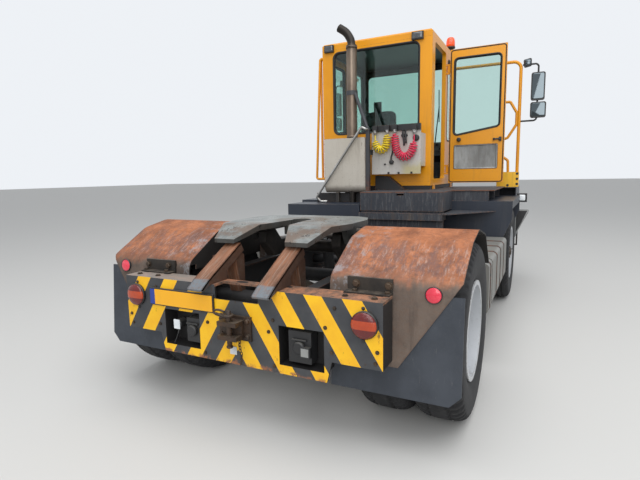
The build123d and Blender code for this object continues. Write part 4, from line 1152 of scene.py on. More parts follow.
# Profiles of its knob and of the rubber round its edge, and how its pressed sheet is dished
door_knob = [(-0.001, 0.016), (-0.012, 0.016), (-0.016, 0.026), (-0.036, 0.027), (-0.044, 0.018)]
door_lip = [(-0.006, -0.002), (-0.006, 0.003), (0, 0.0044), (0.006, 0.003), (0.006, -0.002)]
sheet_levels = [(1.0, 0.012), (1.0, 0.004), (0.985, 0.001), (0.95, 0.001), (0.92, 0.007),
                (0.90, 0.008)]


class TRACTOR_OT_door_trim(bpy.types.Operator):
    """Each door's pressed sheet, latch, knob and the rubber round its edge"""
    bl_idname = "tractor.door_trim"
    bl_label = "Door trim"

    def execute(self, context):
        for hand in ("left", "right"):
            body = f"door_{hand}"
            edge = rounded_outline(rectangle(0.086, 0.616, 1.524, 1.826), 0.018)
            sheet = Shell().closed(on_door(stacked(edge, sheet_levels, 1), hand))
            sheet.make(f"door_sheet_{hand}", "scratched", "grey_paint", body)
            knob = turned(door_knob, (0.150, 0.0, 1.895), (0, 1, 0), 24)
            trim = Shell().closed(on_door(knob, hand))
            for low, high in door_boxes:
                trim.closed(on_door(block(low, high), hand))
            trim.make(f"door_latch_{hand}", "plastic", "black_plastic", body, bevel=0.004)
            outline = rounded_outline(rectangle(0.034, 0.678, 1.362, 2.998), 0.03)
            path = on_door(np.insert(outline, 1, 0.0, axis=1), hand)
            through = np.array(door_frames[hand][2], float)
            lip = Shell().ring(framed(path, -through, door_lip))
            lip.make(f"door_rubber_{hand}", "seal", "black_plastic", body)
        return {"FINISHED"}


# Lamps

def banded_lens():
    """A round lens in three level bands: red, orange, red."""
    f = Finish("tail lens")
    height = f.minus(f.z, lamp_z)
    away = f.unsigned(f.minus(height, 0.004))
    band = f.rise(away, 0.024, 0.021)
    red = f.mix(f.noise(20.0), srgb(74, 4, 5), srgb(112, 12, 10))
    orange = f.mix(f.noise(20.0), srgb(150, 40, 6), srgb(198, 76, 18))
    body = f.mix(band, red, orange)
    ribs = f.plus(f.calc("SINE", f.times(f.y, 900.0)), f.calc("SINE", f.times(f.z, 900.0)))
    f.bump(ribs, 0.0006, 0.35)
    f.shader.inputs["Emission Color"].default_value = srgb(220, 50, 10)
    return f.done(body, 0.14, Emission_Strength=0.01, Coat_Weight=0.4, Coat_Roughness=0.05)


tail_dome = [(0.010, lamp_radius - 0.006), (0.022, lamp_radius - 0.004),
             (0.028, lamp_radius - 0.012), (0.0325, lamp_radius * 0.6), (0.034, 0.010),
             (0.034, 0.0008)]
tail_rim = [(0.0, lamp_radius - 0.008), (0.0, lamp_radius), (0.014, lamp_radius),
            (0.0175, lamp_radius - 0.003), (0.0175, lamp_radius - 0.008),
            (0.004, lamp_radius - 0.010)]
reflector_lens = [(0.001, reflector_radius), (0.007, reflector_radius),
                  (0.0095, reflector_radius - 0.004), (0.0095, 0.0005)]
reflector_rim = [(-0.004, reflector_radius), (-0.004, reflector_radius + 0.003),
                 (0.009, reflector_radius + 0.003), (0.009, reflector_radius)]


def beacon_dome(foot, wide, tall):
    """The beacon's shade: its profile is (0.12 + h sin t, w cos(t)^0.42), and 36 ribs draw it in
    by 1 - 0.014 (1 + cos 36 a)."""
    t = np.linspace(0, pi / 2, 12)
    rounded = np.column_stack([0.12 + (tall - 0.121) * np.sin(t),
                               wide * 0.93 * np.cos(t) ** 0.42 + 0.0005])
    dome = turned(np.concatenate([[(0.088, wide * 0.93)], rounded]), foot, to_top, 144)
    away = dome[..., :2] - foot[:2]
    ribs = 1 - 0.014 * (1 + np.cos(36 * np.arctan2(away[..., 1], away[..., 0])))
    dome[..., :2] = foot[:2] + away * ribs[..., None]
    return dome


class TRACTOR_OT_lamps(bpy.types.Operator):
    """Tail lamps, reflectors, headlamp and work lamp lenses and the beacon"""
    bl_idname = "tractor.lamps"
    bl_label = "Lamps"

    def execute(self, context):
        finishes["tail"] = banded_lens()
        lens, rims, glow = Shell(), Shell(), Shell()
        for side in (-1, 1):
            foot = (member_face_x, side * lamp_y, lamp_z)
            lens.closed(turned(tail_dome, foot, to_back, 64))
            rims.ring(turned(tail_rim, foot, to_back, 64))
            for z in (lamp_z + 0.083, lamp_z - 0.084):
                hexagon(rims, (member_face_x, side * (lamp_y - 0.008), z), to_back, 0.013, 0.008)
            leaning = (-0.9965, 0, 0.0836)
            foot = spot(-0.5425, side * reflector_y, reflector_z)
            glow.closed(turned(reflector_lens, foot, leaning, 48))
            rims.ring(turned(reflector_rim, foot, leaning, 48))
        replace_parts(lens.make("tail_lenses", "tail", "lamp_lens"), "rear_lamps")
        rims.make("lamp_rings", "plastic", "black_plastic")
        glow.make("reflector_lenses", "reflector", "lamp_lens")

        clear, smoked = Shell(), Shell()
        for solid in solids_of("lamps"):
            low, high = solid.min(0), solid.max(0)
            front = low[0] > front_axle_x + 1.0
            face, out = (high[0], 1) if front else (low[0], -1)
            y, z = [(low[axis] + 0.008, high[axis] - 0.008) for axis in (1, 2)]
            levels = [(share, face + out * depth)
                      for share, depth in ((1, -0.002), (1, 0.002), (0.96, 0.005), (0.5, 0.006))]
            shell = clear if front else smoked
            shell.closed(stacked(rounded_outline(rectangle(*y, *z), 0.012), levels))
        clear.make("head_lamp_lenses", "clear", "head_lamp")
        smoked.make("work_lamp_lenses", "smoked", "head_lamp")

        low, high = (np.array(corner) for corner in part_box("beacon"))
        wide, tall = (high[0] - low[0]) / 2, high[2] - low[2]
        foot = np.array([*(low + high)[:2] / 2, low[2]])
        base = [(0, wide * 0.8), (0.03, wide * 0.8), (0.034, wide * 0.62), (0.068, wide * 0.62),
                (0.070, wide), (0.088, wide), (0.09, wide * 0.9)]
        holder = Shell().closed(turned(base, foot, to_top, 48))
        holder.make("beacon_base", "plastic", "black_plastic")
        shade = Shell().closed(beacon_dome(foot, wide, tall))
        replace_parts(shade.make("beacon_dome", "beacon", "beacon_lens"), "beacon")
        return {"FINISHED"}


# Rear end: blank plate, coupling, sockets, bolts

def at_face(x, y, z):
    """A place counted from the middle of the cross-member's rear face, at ground level."""
    return np.array([member_face_x + x, y, z])


def rear_box(name, finish, slot, bevel, low, high):
    """A piece that is one box on the cross-member, its corners counted as in at_face."""
    Shell().box(at_face(*low), at_face(*high)).make(name, finish, slot, bevel=bevel)


def chain(shell, top):
    """Nine oval links that hang from a place, each turned a quarter against the one above."""
    turn = np.linspace(0, 2 * pi, 20, endpoint=False)
    lengthways, sideways = np.eye(3)[0], np.eye(3)[1]
    for link in range(9):
        flat, normal = (sideways, lengthways) if link % 2 else (lengthways, sideways)
        centre = top + np.array([0.002 * (link % 2), 0.006 * np.sin(link * 0.8), -0.0175 * link])
        path = (centre + np.cos(turn)[:, None] * 0.0065 * flat
                + np.sin(turn)[:, None] * 0.0125 * np.array(to_top))
        shell.ring(framed(path, normal, circle(0.0024, 8)))


def coupling_pin():
    """The pin with its two collars and grip, the coupling's four bolts and the chain."""
    shell = Shell()
    pin_x, pin_y = -0.068, 0.005
    turn = np.linspace(0.15 * pi, 1.85 * pi, 22)
    grip = np.column_stack([np.full(22, member_face_x + pin_x), 0.072 - 0.040 * np.cos(turn),
                            0.716 + 0.016 * np.sin(turn)])
    tube_along(shell, grip[::3], 0.0065)
    for low, high, radius, steps in ((0.52, 0.735, 0.0145, 16), (0.700, 0.712, 0.030, 24),
                                     (0.516, 0.530, 0.019, 24)):
        rod(shell, at_face(pin_x, pin_y, low), at_face(pin_x, pin_y, high), radius, steps)
    for y in (-0.085, 0.095):
        for z in (0.575, 0.665):
            hexagon(shell, at_face(-0.014, y, z), to_back, 0.024, 0.016)
    chain(shell, at_face(pin_x + 0.03, -0.045, 0.565))
    return shell


def trailer_sockets():
    """A body and a lid with its hinge in each pocket, a plug, a flap and a short wire."""
    shell = Shell()
    pocket = 0.094
    for side, near, far, low, high in ((-1, 0.330, 0.470, 0.462, 0.640),
                                       (1, 0.300, 0.400, 0.470, 0.620)):
        y = sorted((side * near, side * far))
        shell.box(at_face(0.020, y[0], low), at_face(pocket, y[1], high))
        y, z = (y[0] + y[1]) / 2, (low + high) / 2
        rod(shell, at_face(0.024, y, z), at_face(-0.004, y, z), 0.036, 28)
        rod(shell, at_face(0.012, y - 0.045, z + 0.042), at_face(0.012, y + 0.045, z + 0.042), 0.006)
    rod(shell, at_face(pocket, 0.49, 0.563), at_face(0.03, 0.49, 0.563), 0.03, 24)
    shell.box(at_face(-0.0038, -0.470, 0.502), at_face(0.030, -0.412, 0.562))
    wire = [(0.024, 0.470, 0.53), (0.006, 0.462, 0.515), (0.004, 0.476, 0.48),
            (0.002, 0.492, 0.452)]
    tube_along(shell, [at_face(*place) for place in wire], 0.0032)
    return shell


flange_top = 0.855
member_bolts = [(0.245, 0.425), (0.245, 0.690), (0.565, 0.69), (0.60, 0.56), (0.62, 0.80),
                (0.85, 0.60), (0.84, 0.54), (0.215, 0.62)]
rail_bolts = [0.17, 0.26, 0.48, 0.95, 1.24, 1.46, 1.72, 2.62, 2.86, 3.48, 3.72]
bracket_corner = [(-0.6045, flange_top), (-0.6045, flange_top + 0.009),
                  (-0.5515, flange_top + 0.009), (-0.5515, 0.934), (-0.5335, 0.934),
                  (-0.5335, flange_top)]
flange_slots = [(-0.600, -0.640, 0.050, 0.024), (-0.600, -0.820, 0.050, 0.024),
                (-0.608, -0.270, 0.080, 0.034), (-0.608, 0.035, 0.080, 0.034),
                (-0.600, 0.640, 0.050, 0.024), (-0.600, 0.820, 0.050, 0.024)]


class TRACTOR_OT_rear_fittings(bpy.types.Operator):
    """The blank plate, the coupling's pin and chain, what sits in the two pockets, and bolts"""
    bl_idname = "tractor.rear_fittings"
    bl_label = "Rear fittings"

    def execute(self, context):
        rear_box("plate_holder", "plastic", "black_plastic", 0.004,
                 (-0.014, 0.155, 0.684), (-0.001, 0.665, 0.796))
        rear_box("blank_plate", "plate", "yellow_paint", 0.0015,
                 (-0.018, 0.163, 0.692), (-0.0135, 0.617, 0.788))
        rear_box("plate_end", "band", "navy_paint", 0.0015,
                 (-0.018, 0.6175, 0.692), (-0.0135, 0.657, 0.788))
        coupling_pin().make("coupling_pin", "casting", "rusty_steel")
        rear_box("coupling_tag", "clear", "grey_paint", 0.001,
                 (-0.004, 0.008, 0.449), (-0.0015, 0.056, 0.497))
        trailer_sockets().make("trailer_sockets", "plastic", "black_plastic", bevel=0.005)
        rear_box("socket_blank", "galvanised", "grey_paint", 0.001,
                 (-0.0055, -0.464, 0.510), (-0.0035, -0.418, 0.556))
        # The lid wears the glowing white lens finish, so it glows a little though it is no lamp:
        # painted light
        rear_box("socket_lid", "white lens", "grey_paint", 0.004,
                 (0.024, 0.464, 0.532), (0.031, 0.514, 0.594))

        bolts, bracket, holes = Shell(), Shell(), Shell()
        size = sizes().bolt_size
        for side in (-1, 1):
            for y in (0.655, 0.815):
                foot = at_face(0.058, side * y, flange_top)
                hexagon(bolts, foot, to_top, size * 0.8, size * 0.35)
            prism(bracket, placed(bracket_corner), *sorted((side * 0.6195, side * 0.872)))
            for y in (0.672, 0.853):
                hexagon(bolts, spot(-0.5515, side * y, 0.899), to_back, size, size * 0.5)
                hexagon(bolts, spot(-0.577, side * y, 0.864), to_top, size * 0.8, size * 0.4)
            for y, z in member_bolts:
                hexagon(bolts, at_face(0, side * y, z), to_back, size * 0.5, size * 0.3)
            for x in rail_bolts:
                for z in (0.64, 0.80):
                    hexagon(bolts, spot(x, side * 0.43, z), (0, side, 0), size * 0.7, size * 0.4)
        bolts.make("frame_bolts", "bolt", "rusty_steel", smooth=False)
        bracket.make("fender_brackets", "iron", "rusty_steel", bevel=0.001)
        # Painted shade: each slot in the flange is a thin black plate on its top
        for x, y, long, wide in flange_slots:
            corners = placed(rectangle(x - wide / 2, x + wide / 2, y - long / 2, y + long / 2))
            prism(holes, rounded_outline(corners, wide * 0.48), flange_top + 0.0002,
                  flange_top + 0.0012, 2)
        holes.make("flange_holes", "seal", "rusty_steel", smooth=False)
        return {"FINISHED"}


# Wheels: nuts, caps and valves

def round_the_hub(x, y, radius, count, start=0.0):
    """Places on a circle round an axle: (x + r cos a, y, z + r sin a) for evenly spaced a."""
    for turn in range(count):
        angle = 2 * pi * turn / count + start
        yield (x + radius * cos(angle), y, axle_z + radius * sin(angle))


class TRACTOR_OT_wheel_nuts(bpy.types.Operator):
    """Ten nuts on studs round each hub, its cap, hand holes of painted shade and a valve in the rim"""
    bl_idname = "tractor.wheel_nuts"
    bl_label = "Wheel nuts"

    def execute(self, context):
        hole = [(0.0002, 0.021), (0.0012, 0.021), (0.0012, 0.0005)]
        cap = [(0, 0.036), (0.012, 0.036), (0.020, 0.028), (0.023, 0.001)]
        wheels = [("rear", rear_axle_x, rear_disc_y, 0.090),
                  ("front", front_axle_x, front_disc_y, 0.054)]
        for side, hand in ((1, "left"), (-1, "right")):
            out = (0, side, 0)
            for place, x, disc_y, hub_depth in wheels:
                body = f"wheel_{place}_{hand}"
                disc, hub = side * disc_y, side * (disc_y + hub_depth)
                nuts, holes, valve = Shell(), Shell(), Shell()
                for foot in round_the_hub(x, disc, 0.1675, 10, 0.3):
                    hexagon(nuts, foot, out, 0.032, 0.028)
                    rod(nuts, foot, (foot[0], disc + side * 0.042, foot[2]), 0.010, 12)
                # Painted shade: each hand hole is a thin black disc on the rim's face
                for foot in round_the_hub(x, disc, 0.197, 8, pi / 2):
                    holes.closed(turned(hole, foot, out, 24))
                for foot in round_the_hub(x, hub, 0.06, 8):
                    hexagon(nuts, foot, out, 0.016, 0.010)
                nuts.closed(turned(cap, (x, hub, axle_z), out, 32))
                nuts.make(f"nuts_{body}", "bolt", "axle_iron", body, smooth=False)
                holes.make(f"hand_holes_{body}", "seal", "rim_paint", body, smooth=False)
                rod(valve, (x + 0.248, disc - side * 0.004, axle_z),
                    (x + 0.236, disc + side * 0.075, axle_z), 0.005, 10)
                rod(valve, (x + 0.2365, disc + side * 0.073, axle_z),
                    (x + 0.235, disc + side * 0.088, axle_z), 0.007, 10)
                valve.make(f"valve_{body}", "plastic", "black_plastic", body)
        return {"FINISHED"}


# Guide ramps

class TRACTOR_OT_ramps(bpy.types.Operator):
    """Two channel ramps that lead up to the fifth wheel, each on a leaning leg"""
    bl_idname = "tractor.ramps"
    bl_label = "Ramps"

    def execute(self, context):
        tip, bend, end = np.array([(-0.816, 0.840), (-0.750, 0.885), (-0.426, 1.061)])
        ahead = (end - bend) / np.linalg.norm(end - bend)
        down = np.array([ahead[1], -ahead[0]])
        plate, depth, half, wall = 0.014, 0.062, 0.056, 0.010
        tip_under = tip + (0.008, -plate)
        under = [end + down * plate, bend + down * plate, tip_under]
        deep_end, deep_bend = end + down * depth, bend + down * depth
        seat_front, seat_back, seat_z = -0.5735, -0.7245, flange_top + 0.0006
        slope = (seat_front - deep_bend[0]) / (deep_end - deep_bend)[0]
        meet = deep_bend + (deep_end - deep_bend) * slope
        side = [bend, end, deep_end, meet, (seat_front, seat_z), (seat_back, seat_z), tip_under, tip]
        foot, top, head = -0.400, end[1] - plate, end[0] - 0.046
        leg = [(foot - 0.022, 0.735), (foot + 0.020, 0.735), (foot + 0.020, top - 0.070),
               (end[0] - 0.006, top - 0.034), (head, top - 0.048), (head, top - 0.090)]
        ramps = Shell()
        for centre in (-0.225, 0.225):
            for outline, low, high in (([tip, bend, end, *under], -half, half),
                                       (side, -half, wall - half), (side, half - wall, half),
                                       (leg, wall - half, half - wall)):
                prism(ramps, placed(outline), centre + low, centre + high)
        piece = ramps.make("guide_ramps", "ramp", "rusty_steel", bevel=0.0025)
        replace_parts(piece, "ramps")
        return {"FINISHED"}


# Hose panel

# Where the air lines end, and the round caps on the panel with their radii, as (y, z)
hose_ends = [(0.245, 1.955), (0.100, 1.955), (0.010, 1.955), (-0.212, 1.940)]
panel_caps = [(-0.222, 1.872, 0.036), (0.062, 1.612, 0.026), (0.140, 1.590, 0.009),
              (-0.075, 1.905, 0.022), (-0.105, 1.905, 0.020)]


class TRACTOR_OT_hose_fittings(bpy.types.Operator):
    """Black connector boxes, nuts, caps and short elbows on the panel behind the cab"""
    bl_idname = "tractor.hose_fittings"
    bl_label = "Hose fittings"

    def execute(self, context):
        boxes, metal = Shell(), Shell()
        nut = [(0, 0.0185), (0.010, 0.0185), (0.024, 0.012), (0.034, 0.0095), (0.034, 0.007)]
        for y, z in hose_ends:
            boxes.box((coil_x - 0.024, y - 0.027, z + 0.014), (coil_x + 0.030, y + 0.027, z + 0.066))
            hexagon(metal, (coil_x, y, z + 0.016), to_bottom, 0.036, 0.020)
            metal.closed(turned(nut, (coil_x, y, z), to_bottom, 24))
        for y, z, radius in panel_caps:
            cap = [(0.0005, radius), (0.022, radius), (0.030, radius * 0.86),
                   (0.034, radius * 0.4), (0.034, 0.0005)]
            boxes.closed(turned(cap, (panel_x, y, z), to_back, 32))
        x = panel_x - 0.028
        for y, far, low in ((-0.075, -0.090, 1.790), (-0.105, -0.112, 1.815)):
            elbow = [(x, y, 1.965), (x, y, 1.900), (x - 0.006, far, 1.850), (x, far, low)]
            tube_along(boxes, elbow, 0.010)
        pipe = [(0.014, 0.062, 1.612), (0.020, 0.070, 1.66), (0.014, 0.045, 1.72), (0.010, 0.052, 1.80)]
        tube_along(boxes, [(panel_x - out, y, z) for out, y, z in pipe], 0.008)
        for y in (-0.02, -0.17, 0.10):
            boxes.box((panel_x - 0.006, y - 0.012, 1.477), (panel_x - 0.0005, y + 0.012, 1.500))
        boxes.make("hose_connectors", "plastic", "black_plastic", bevel=0.004)
        metal.make("hose_nuts", "rail", "steel_pipe", smooth=False)
        return {"FINISHED"}


# Seat

def pad_grid(low, high, power=0.32, rows=22, columns=56):
    """A rounded box: each half size times |cos|^p and |sin|^p of two angles, signs kept."""
    low, high = np.array(low, float), np.array(high, float)
    u = np.linspace(-pi / 2 + 0.01, pi / 2 - 0.01, rows)[:, None]
    v = np.linspace(0, 2 * pi, columns, endpoint=False)[None]

    def eased(value):
        """|value|^p with the value's sign."""
        return np.sign(value) * np.abs(value) ** power

    unit = np.stack([eased(np.cos(u)) * eased(np.cos(v)), eased(np.cos(u)) * eased(np.sin(v)),
                     eased(np.sin(u)) * np.ones_like(v)], axis=2)
    return (low + high) / 2 + unit * (high - low) / 2


def read_points(mesh, kind="co"):
    """The mesh's points, or with "normal" its point normals, as an (n, 3) array."""
    values = np.empty(len(mesh.vertices) * 3)
    if kind == "co":
        mesh.vertices.foreach_get("co", values)
    else:
        mesh.vertex_normals.foreach_get("vector", values)
    return values.reshape(-1, 3)


def mesh_now(piece):
    """The piece's mesh as its modifiers leave it."""
    graph = bpy.context.evaluated_depsgraph_get()
    return bpy.data.meshes.new_from_object(piece.evaluated_get(graph))


def swelled(grid, name, limit):
    """Cloth over a closed pad, blown up from inside for 20 frames. No point moves further than
    the limit."""
    scene = bpy.context.scene
    pad = Shell().closed(grid)
    mesh = bpy.data.meshes.new(name)
    mesh.from_pydata(np.concatenate(pad.points).tolist(), [], pad.faces)
    piece = bpy.data.objects.new(name, mesh)
    scene.collection.objects.link(piece)
    turn_outwards(mesh)
    remesh = piece.modifiers.new("Remesh", "REMESH")
    remesh.mode = "VOXEL"
    remesh.voxel_size = 0.006
    piece.data = mesh_now(piece)
    piece.modifiers.clear()
    start = read_points(piece.data)
    cloth = piece.modifiers.new("Cloth", "CLOTH")
    cloth.settings.use_pressure = True
    cloth.settings.uniform_pressure_force = 4.0
    cloth.settings.effector_weights.gravity = 0.0
    cloth.settings.quality = 4
    cloth.point_cache.frame_start, cloth.point_cache.frame_end = 1, 20
    for step in range(1, 21):
        scene.frame_set(step)
    moved = read_points(mesh_now(piece)) - start
    piece.modifiers.clear()
    scene.frame_set(1)
    far = np.linalg.norm(moved, axis=1)[:, None]
    return piece, start + moved * np.minimum(1, limit / np.maximum(far, 1e-9))


def sewn(piece, points, seams, depth, width=0.006):
    """Draws the cover in along flat seams, each an axis and a place, by depth * exp(-(d / w)^2)."""
    normals = read_points(piece.data, "normal")
    dip = np.zeros(len(points))
    for axis, place, low, high in seams:
        other = points[:, 1 - axis] if axis < 2 else points[:, 1]
        near = np.exp(-((points[:, axis] - place) / width) ** 2)
        dip = np.maximum(dip, near * ((other > low) & (other < high)))
    return points - normals * (dip * depth)[:, None]


class TRACTOR_OT_seat(bpy.types.Operator):
    """The driver's seat cushion and back, swelled as cloth and sewn in channels"""
    bl_idname = "tractor.seat"
    bl_label = "Seat"

    def execute(self, context):
        x, y, low = rear_axle_x + 3.080, 0.345, cab_floor_z + 0.3455
        back_low, back_high, back_plate = low + 0.130, low + 0.520, x - 0.3298
        panel, everywhere = 0.13, 9

        def seams(axis, *places):
            """Channels across the middle panel at these places, and one along each side of it."""
            across = [(axis, place, y - panel, y + panel) for place in places]
            return across + [(1, y + side * panel, -everywhere, everywhere) for side in (-1, 1)]

        seat = pad_grid((x - 0.168, y - 0.222, low + 0.002), (x + 0.238, y + 0.222, low + 0.098))
        back = pad_grid((x - 0.318, y - 0.212, back_low), (x - 0.222, y + 0.212, back_high))
        for name, grid, channels in (
                ("cushion_seat", seat, seams(0, x - 0.06, x + 0.04, x + 0.14)),
                ("cushion_back", back, seams(2, low + 0.24, low + 0.33, low + 0.42))):
            piece, points = swelled(grid, name, 0.011)
            axis, stop = (2, low) if name == "cushion_seat" else (0, back_plate)
            points[:, axis] = np.maximum(points[:, axis], stop)
            points = sewn(piece, points, channels, 0.007)
            if name == "cushion_back":
                points[:, 0] -= 0.07 * (points[:, 2] - back_low)
            piece.data.vertices.foreach_set("co", points.ravel())
            piece.data.polygons.foreach_set("use_smooth", np.ones(len(piece.data.polygons), bool))
            piece.data.materials.append(finishes["cloth"])
            smooth = piece.modifiers.new("Subdivision", "SUBSURF")
            smooth.levels = smooth.render_levels = 1
            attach(piece, "chassis")
            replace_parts(piece, "seat_cushions")
        return {"FINISHED"}


# Cab inside and wiper

hood_outline = [(3.702, 1.812), (3.832, 1.905), (3.850, 1.975), (3.765, 1.985), (3.702, 1.900)]
lever_knob = [(0, 0.010), (0.012, 0.022), (0.034, 0.024), (0.050, 0.016), (0.052, 0.001)]
guard_bolts = [(-1.196, 1.452), (-1.196, 1.385), (-1.196, 1.318), (-1.085, 1.302), (-0.966, 1.452)]


class TRACTOR_OT_cab_fittings(bpy.types.Operator):
    """Instruments, levers, the windscreen's wiper and the right tube frame's bolts"""
    bl_idname = "tractor.cab_fittings"
    bl_label = "Cab fittings"

    def execute(self, context):
        hood, dials, rings, wiper, bolts = [Shell() for _ in range(5)]
        prism(hood, placed(hood_outline), 0.185, 0.505)
        for key in range(5):
            y = -0.16 + 0.045 * key
            hood.box(spot(3.752, y, 1.852), spot(3.775, y + 0.028, 1.884))
        for y, lean in ((-0.205, -0.05), (0.120, 0.03)):
            x = 3.650 + lean * 0.2
            rod(hood, spot(3.700, y, 1.800), spot(x, y + lean, 2.000), 0.008)
            hood.closed(turned(lever_knob, spot(x, y + lean, 1.995), to_top, 24))
        hood.make("instrument_hood", "console", "black_plastic", bevel=0.006)
        slope = (-0.82, 0, 0.573)
        for y, radius in ((0.250, 0.036), (0.345, 0.044), (0.440, 0.036)):
            centre = spot(3.7335, y, 1.9425)
            dial = [(0.0008, radius * 0.9), (0.003, radius * 0.9), (0.003, 0.0005)]
            ring = [(0.0, radius * 0.88), (0.0, radius), (0.006, radius), (0.006, radius * 0.9)]
            dials.closed(turned(dial, centre, slope, 40))
            rings.ring(turned(ring, centre, slope, 40))
        dials.make("dial_faces", "clear", "black_plastic")
        rings.make("dial_rings", "rail", "black_plastic")
        rod(wiper, spot(4.010, -0.050, 1.780), spot(4.040, -0.050, 1.780), 0.018)
        rod(wiper, spot(4.034, -0.050, 1.780), spot(4.024, -0.117, 2.425), 0.008)
        rod(wiper, spot(4.014, -0.121, 2.200), spot(4.014, -0.113, 2.650), 0.007)
        wiper.make("wiper", "plastic", "black_plastic")
        for y, z in guard_bolts:
            hexagon(bolts, spot(3.740, y, z), to_back, 0.022, 0.010)
        bolts.make("guard_bolts", "plastic", "black_plastic", smooth=False)
        return {"FINISHED"}


# Body fittings

# Corners of the boxes under the cab's edge and of the plate behind the shield's legs
skirt_boxes = [((2.598, -0.334, 1.2908), (2.606, 1.024, 1.3355)),
               ((2.606, -0.334, 1.2908), (3.990, -0.326, 1.3355)),
               ((2.606, 1.016, 1.2908), (3.990, 1.024, 1.3355)),
               ((2.345, 0.300, 1.1510), (2.351, 1.020, 1.2620))]
gusset = [(0.300, 1.291), (0.300, 1.462), (0.140, 1.450), (-0.060, 1.291)]
tank_runs = [(0.790, 1.010, -1, 1), (1.050, 2.345, -1, 3), (0.900, 2.345, 1, 3)]


def step_and_lamp(x0, x1):
    """The low step at the right with a black plate inside it as painted shade, and the square lamp on
    it, each as its own shell. The step's plate lies at tread and its skirt reaches down to foot."""
    side, outer, tread, foot = -1.2003, -1.353, 0.986, 0.647
    step, dark, lens = Shell(), Shell(), Shell()
    step.box((x0, outer, tread - 0.008), (x1, side, tread))
    step.box((x0, side - 0.008, foot), (x1, side, tread - 0.008))
    prism(step, [(outer, tread - 0.030), (outer, tread - 0.0005), (side - 0.002, foot + 0.030),
                 (side - 0.002, foot)], x0, x1, 0)
    for row in range(6):
        x = x0 + 0.010 + 0.012 * row
        step.box((x, outer + 0.006, tread), (x + 0.004, side - 0.01, tread + 0.003))
    # Painted shade: a black plate fills the hollow under the tread, behind the strut
    prism(dark, [(outer + 0.012, tread - 0.010), (side - 0.009, tread - 0.010),
                 (side - 0.009, foot + 0.028)], x0 + 0.003, x0 + 0.009, 0)
    face = x0 + 0.010
    dark.box((face, -1.328, 1.087), (x0 + 0.070, -1.210, 1.199))
    rod(dark, (x0 + 0.04, -1.231, tread), (x0 + 0.04, -1.231, 1.095), 0.012)
    levels = [(1, face + 0.002), (1, face - 0.0015), (0.95, face - 0.004), (0.5, face - 0.005)]
    lens.closed(stacked(rounded_outline(rectangle(-1.308, -1.232, 1.107, 1.181), 0.014), levels))
    return step, dark, lens


class TRACTOR_OT_body_fittings(bpy.types.Operator):
    """The right step and its square lamp, straps and caps on the tanks, and the exhaust's bands"""
    bl_idname = "tractor.body_fittings"
    bl_label = "Body fittings"

    def execute(self, context):
        step, dark, lens = step_and_lamp(rear_axle_x + 3.650, rear_axle_x + 3.730)
        step.make("side_step", "galvanised", "grey_paint", bevel=0.0012)
        # The lamp's body shares this piece with the black plate of painted shade in the step
        dark.make("square_lamp_and_step_shade", "plastic", "black_plastic", bevel=0.008)
        lens.make("square_lens", "white lens", "head_lamp")

        skirt, straps, bands = Shell(), Shell(), Shell()
        for low, high in skirt_boxes:
            skirt.box(spot(*low), spot(*high))
        prism(skirt, gusset, rear_axle_x + 2.480, rear_axle_x + 2.570, 0)
        skirt.make("cab_skirt", "frame", "black_plastic", bevel=0.001)

        flat = [(0.0004, -0.020), (0.003, -0.020), (0.003, 0.020), (0.0004, 0.020)]
        loop = rounded_outline(rectangle(0.690, 1.200, 0.400, 0.795), 0.038)
        for x0, x1, hand, count in tank_runs:
            for n in range(count):
                x = x0 + (x1 - x0) * (n + 1) / (count + 1) + rear_axle_x
                path = np.insert(loop * (hand, 1), 0, x, axis=1)
                straps.ring(framed(path, to_front, flat))
        cap = [(0, 0.045), (0.004, 0.045), (0.006, 0.038), (0.030, 0.038), (0.036, 0.030),
               (0.036, 0.001)]
        straps.closed(turned(cap, spot(1.30, 0.95, 0.795), to_top, 40))
        straps.make("tank_straps", "frame", "steel_pipe")

        x, y, radius = rear_axle_x + 2.302, 0.520, 0.060
        inside, outside = radius + 0.0005, radius + 0.005
        band = [(0, inside), (0, outside), (0.030, outside), (0.030, inside)]
        for z in (1.900, 2.900):
            bands.ring(turned(band, (x, y, z), to_top, 48))
            lug = x - radius - 0.018
            rod(bands, (lug, y - 0.016, z + 0.015), (lug, y + 0.016, z + 0.015), 0.007)
        bands.make("exhaust_bands", "pipe", "steel_pipe")
        return {"FINISHED"}


# Stage

def camera_turn(yaw, pitch, roll):
    """The camera's right, up and back directions for a view that looks along yaw from +X."""
    ahead = Vector((cos(yaw) * cos(pitch), sin(yaw) * cos(pitch), -sin(pitch)))
    right = Vector((sin(yaw), -cos(yaw), 0))
    up = right.cross(ahead)
    tilted_right = cos(roll) * right + sin(roll) * up
    tilted_up = cos(roll) * up - sin(roll) * right
    return Matrix((tilted_right, tilted_up, -ahead)).transposed()


def add_light(name, place, aim, width, watts):
    """A square lamp that faces the aim."""
    lamp = bpy.data.lights.new(name, "AREA")
    lamp.size = width
    lamp.energy = watts
    holder = bpy.data.objects.new(name, lamp)
    holder.location = place
    holder.rotation_euler = (Vector(aim) - Vector(place)).to_track_quat("-Z", "Y").to_euler()
    bpy.context.scene.collection.objects.link(holder)


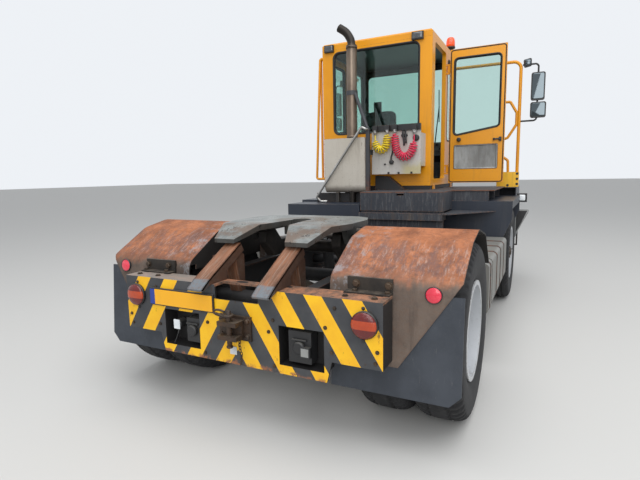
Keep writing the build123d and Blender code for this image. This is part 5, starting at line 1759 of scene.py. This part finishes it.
class TRACTOR_OT_stage(bpy.types.Operator):
    """A pale floor, soft light and the camera at the photograph's place"""
    bl_idname = "tractor.stage"
    bl_label = "Stage"

    def execute(self, context):
        scene = context.scene
        camera = bpy.data.cameras.new("camera")
        camera.sensor_width = 36.0
        camera.lens = 25.68
        holder = bpy.data.objects.new("camera", camera)
        turn = camera_turn(0.464, 0.140, -0.019)
        holder.matrix_world = Matrix.Translation(spot(-2.775, -1.571, 1.473)) @ turn.to_4x4()
        scene.collection.objects.link(holder)
        scene.camera = holder

        floor = bpy.data.meshes.new("floor")
        reach = 90.0
        corners = [(x, y, 0) for x, y in rectangle(-reach, reach, -reach, reach)]
        floor.from_pydata(corners, [], [(0, 1, 2, 3)])
        ground = Finish("floor")
        ground.bump(ground.noise(6.0, 8, 0.7), 0.002, 0.3)
        floor.materials.append(ground.done(srgb(205, 204, 201), 0.85))
        piece = bpy.data.objects.new("floor", floor)
        scene.collection.objects.link(piece)

        world = bpy.data.worlds.new("world")
        sky = NodeTree(world)
        background = sky.tree.nodes["Background"].inputs
        background["Color"].default_value = (0.93, 0.96, 1.0, 1)
        ray = sky.add("ShaderNodeLightPath").outputs
        seen = sky.most(ray["Is Camera Ray"], ray["Is Glossy Ray"])
        seen = sky.most(seen, ray["Is Transmission Ray"])
        level = {"Value": seen, "To Min": 0.62, "To Max": 0.92}
        sky.feed(background["Strength"], sky.add("ShaderNodeMapRange", level).outputs[0])
        scene.world = world
        add_light("sky", (-3.0, -2.0, 9.0), (0, 0, 0.8), 9.0, 620)
        add_light("behind", (-9.0, -3.0, 4.5), (0, 0, 1.2), 5.0, 240)
        scene.view_settings.view_transform = "Standard"
        return {"FINISHED"}


class TRACTOR_OT_finishes(bpy.types.Operator):
    """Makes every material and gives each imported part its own"""
    bl_idname = "tractor.finishes"
    bl_label = "Finishes"

    def execute(self, context):
        make_finishes()
        return {"FINISHED"}


class TRACTOR_PT_panel(bpy.types.Panel):
    """Lists the tractor's pieces and their settings"""
    bl_label = "Tractor"
    bl_idname = "TRACTOR_PT_panel"
    bl_space_type = "VIEW_3D"
    bl_region_type = "UI"
    bl_category = "Tractor"

    def draw(self, context):
        for group in (sizes(), colours()):
            for name in group.__annotations__:
                self.layout.prop(group, name)
        for step in steps:
            self.layout.operator(step.bl_idname)


steps = [TRACTOR_OT_finishes, TRACTOR_OT_stage, TRACTOR_OT_air_lines, TRACTOR_OT_tyres,
         TRACTOR_OT_glazing, TRACTOR_OT_door_trim, TRACTOR_OT_lamps, TRACTOR_OT_rear_fittings,
         TRACTOR_OT_wheel_nuts, TRACTOR_OT_ramps, TRACTOR_OT_hose_fittings, TRACTOR_OT_seat,
         TRACTOR_OT_cab_fittings, TRACTOR_OT_body_fittings]
classes = [TractorSizes, TractorColours, *steps, TRACTOR_PT_panel]


def register():
    for item in classes:
        bpy.utils.register_class(item)
    bpy.types.Scene.tractor_sizes = bpy.props.PointerProperty(type=TractorSizes)
    bpy.types.Scene.tractor_colours = bpy.props.PointerProperty(type=TractorColours)


def unregister():
    del bpy.types.Scene.tractor_colours
    del bpy.types.Scene.tractor_sizes
    for item in reversed(classes):
        bpy.utils.unregister_class(item)


def main():
    """Runs every operator in turn."""
    register()
    for step in steps:
        group, action = step.bl_idname.split(".")
        getattr(getattr(bpy.ops, group), action)()


if __name__ == "__main__":
    main()
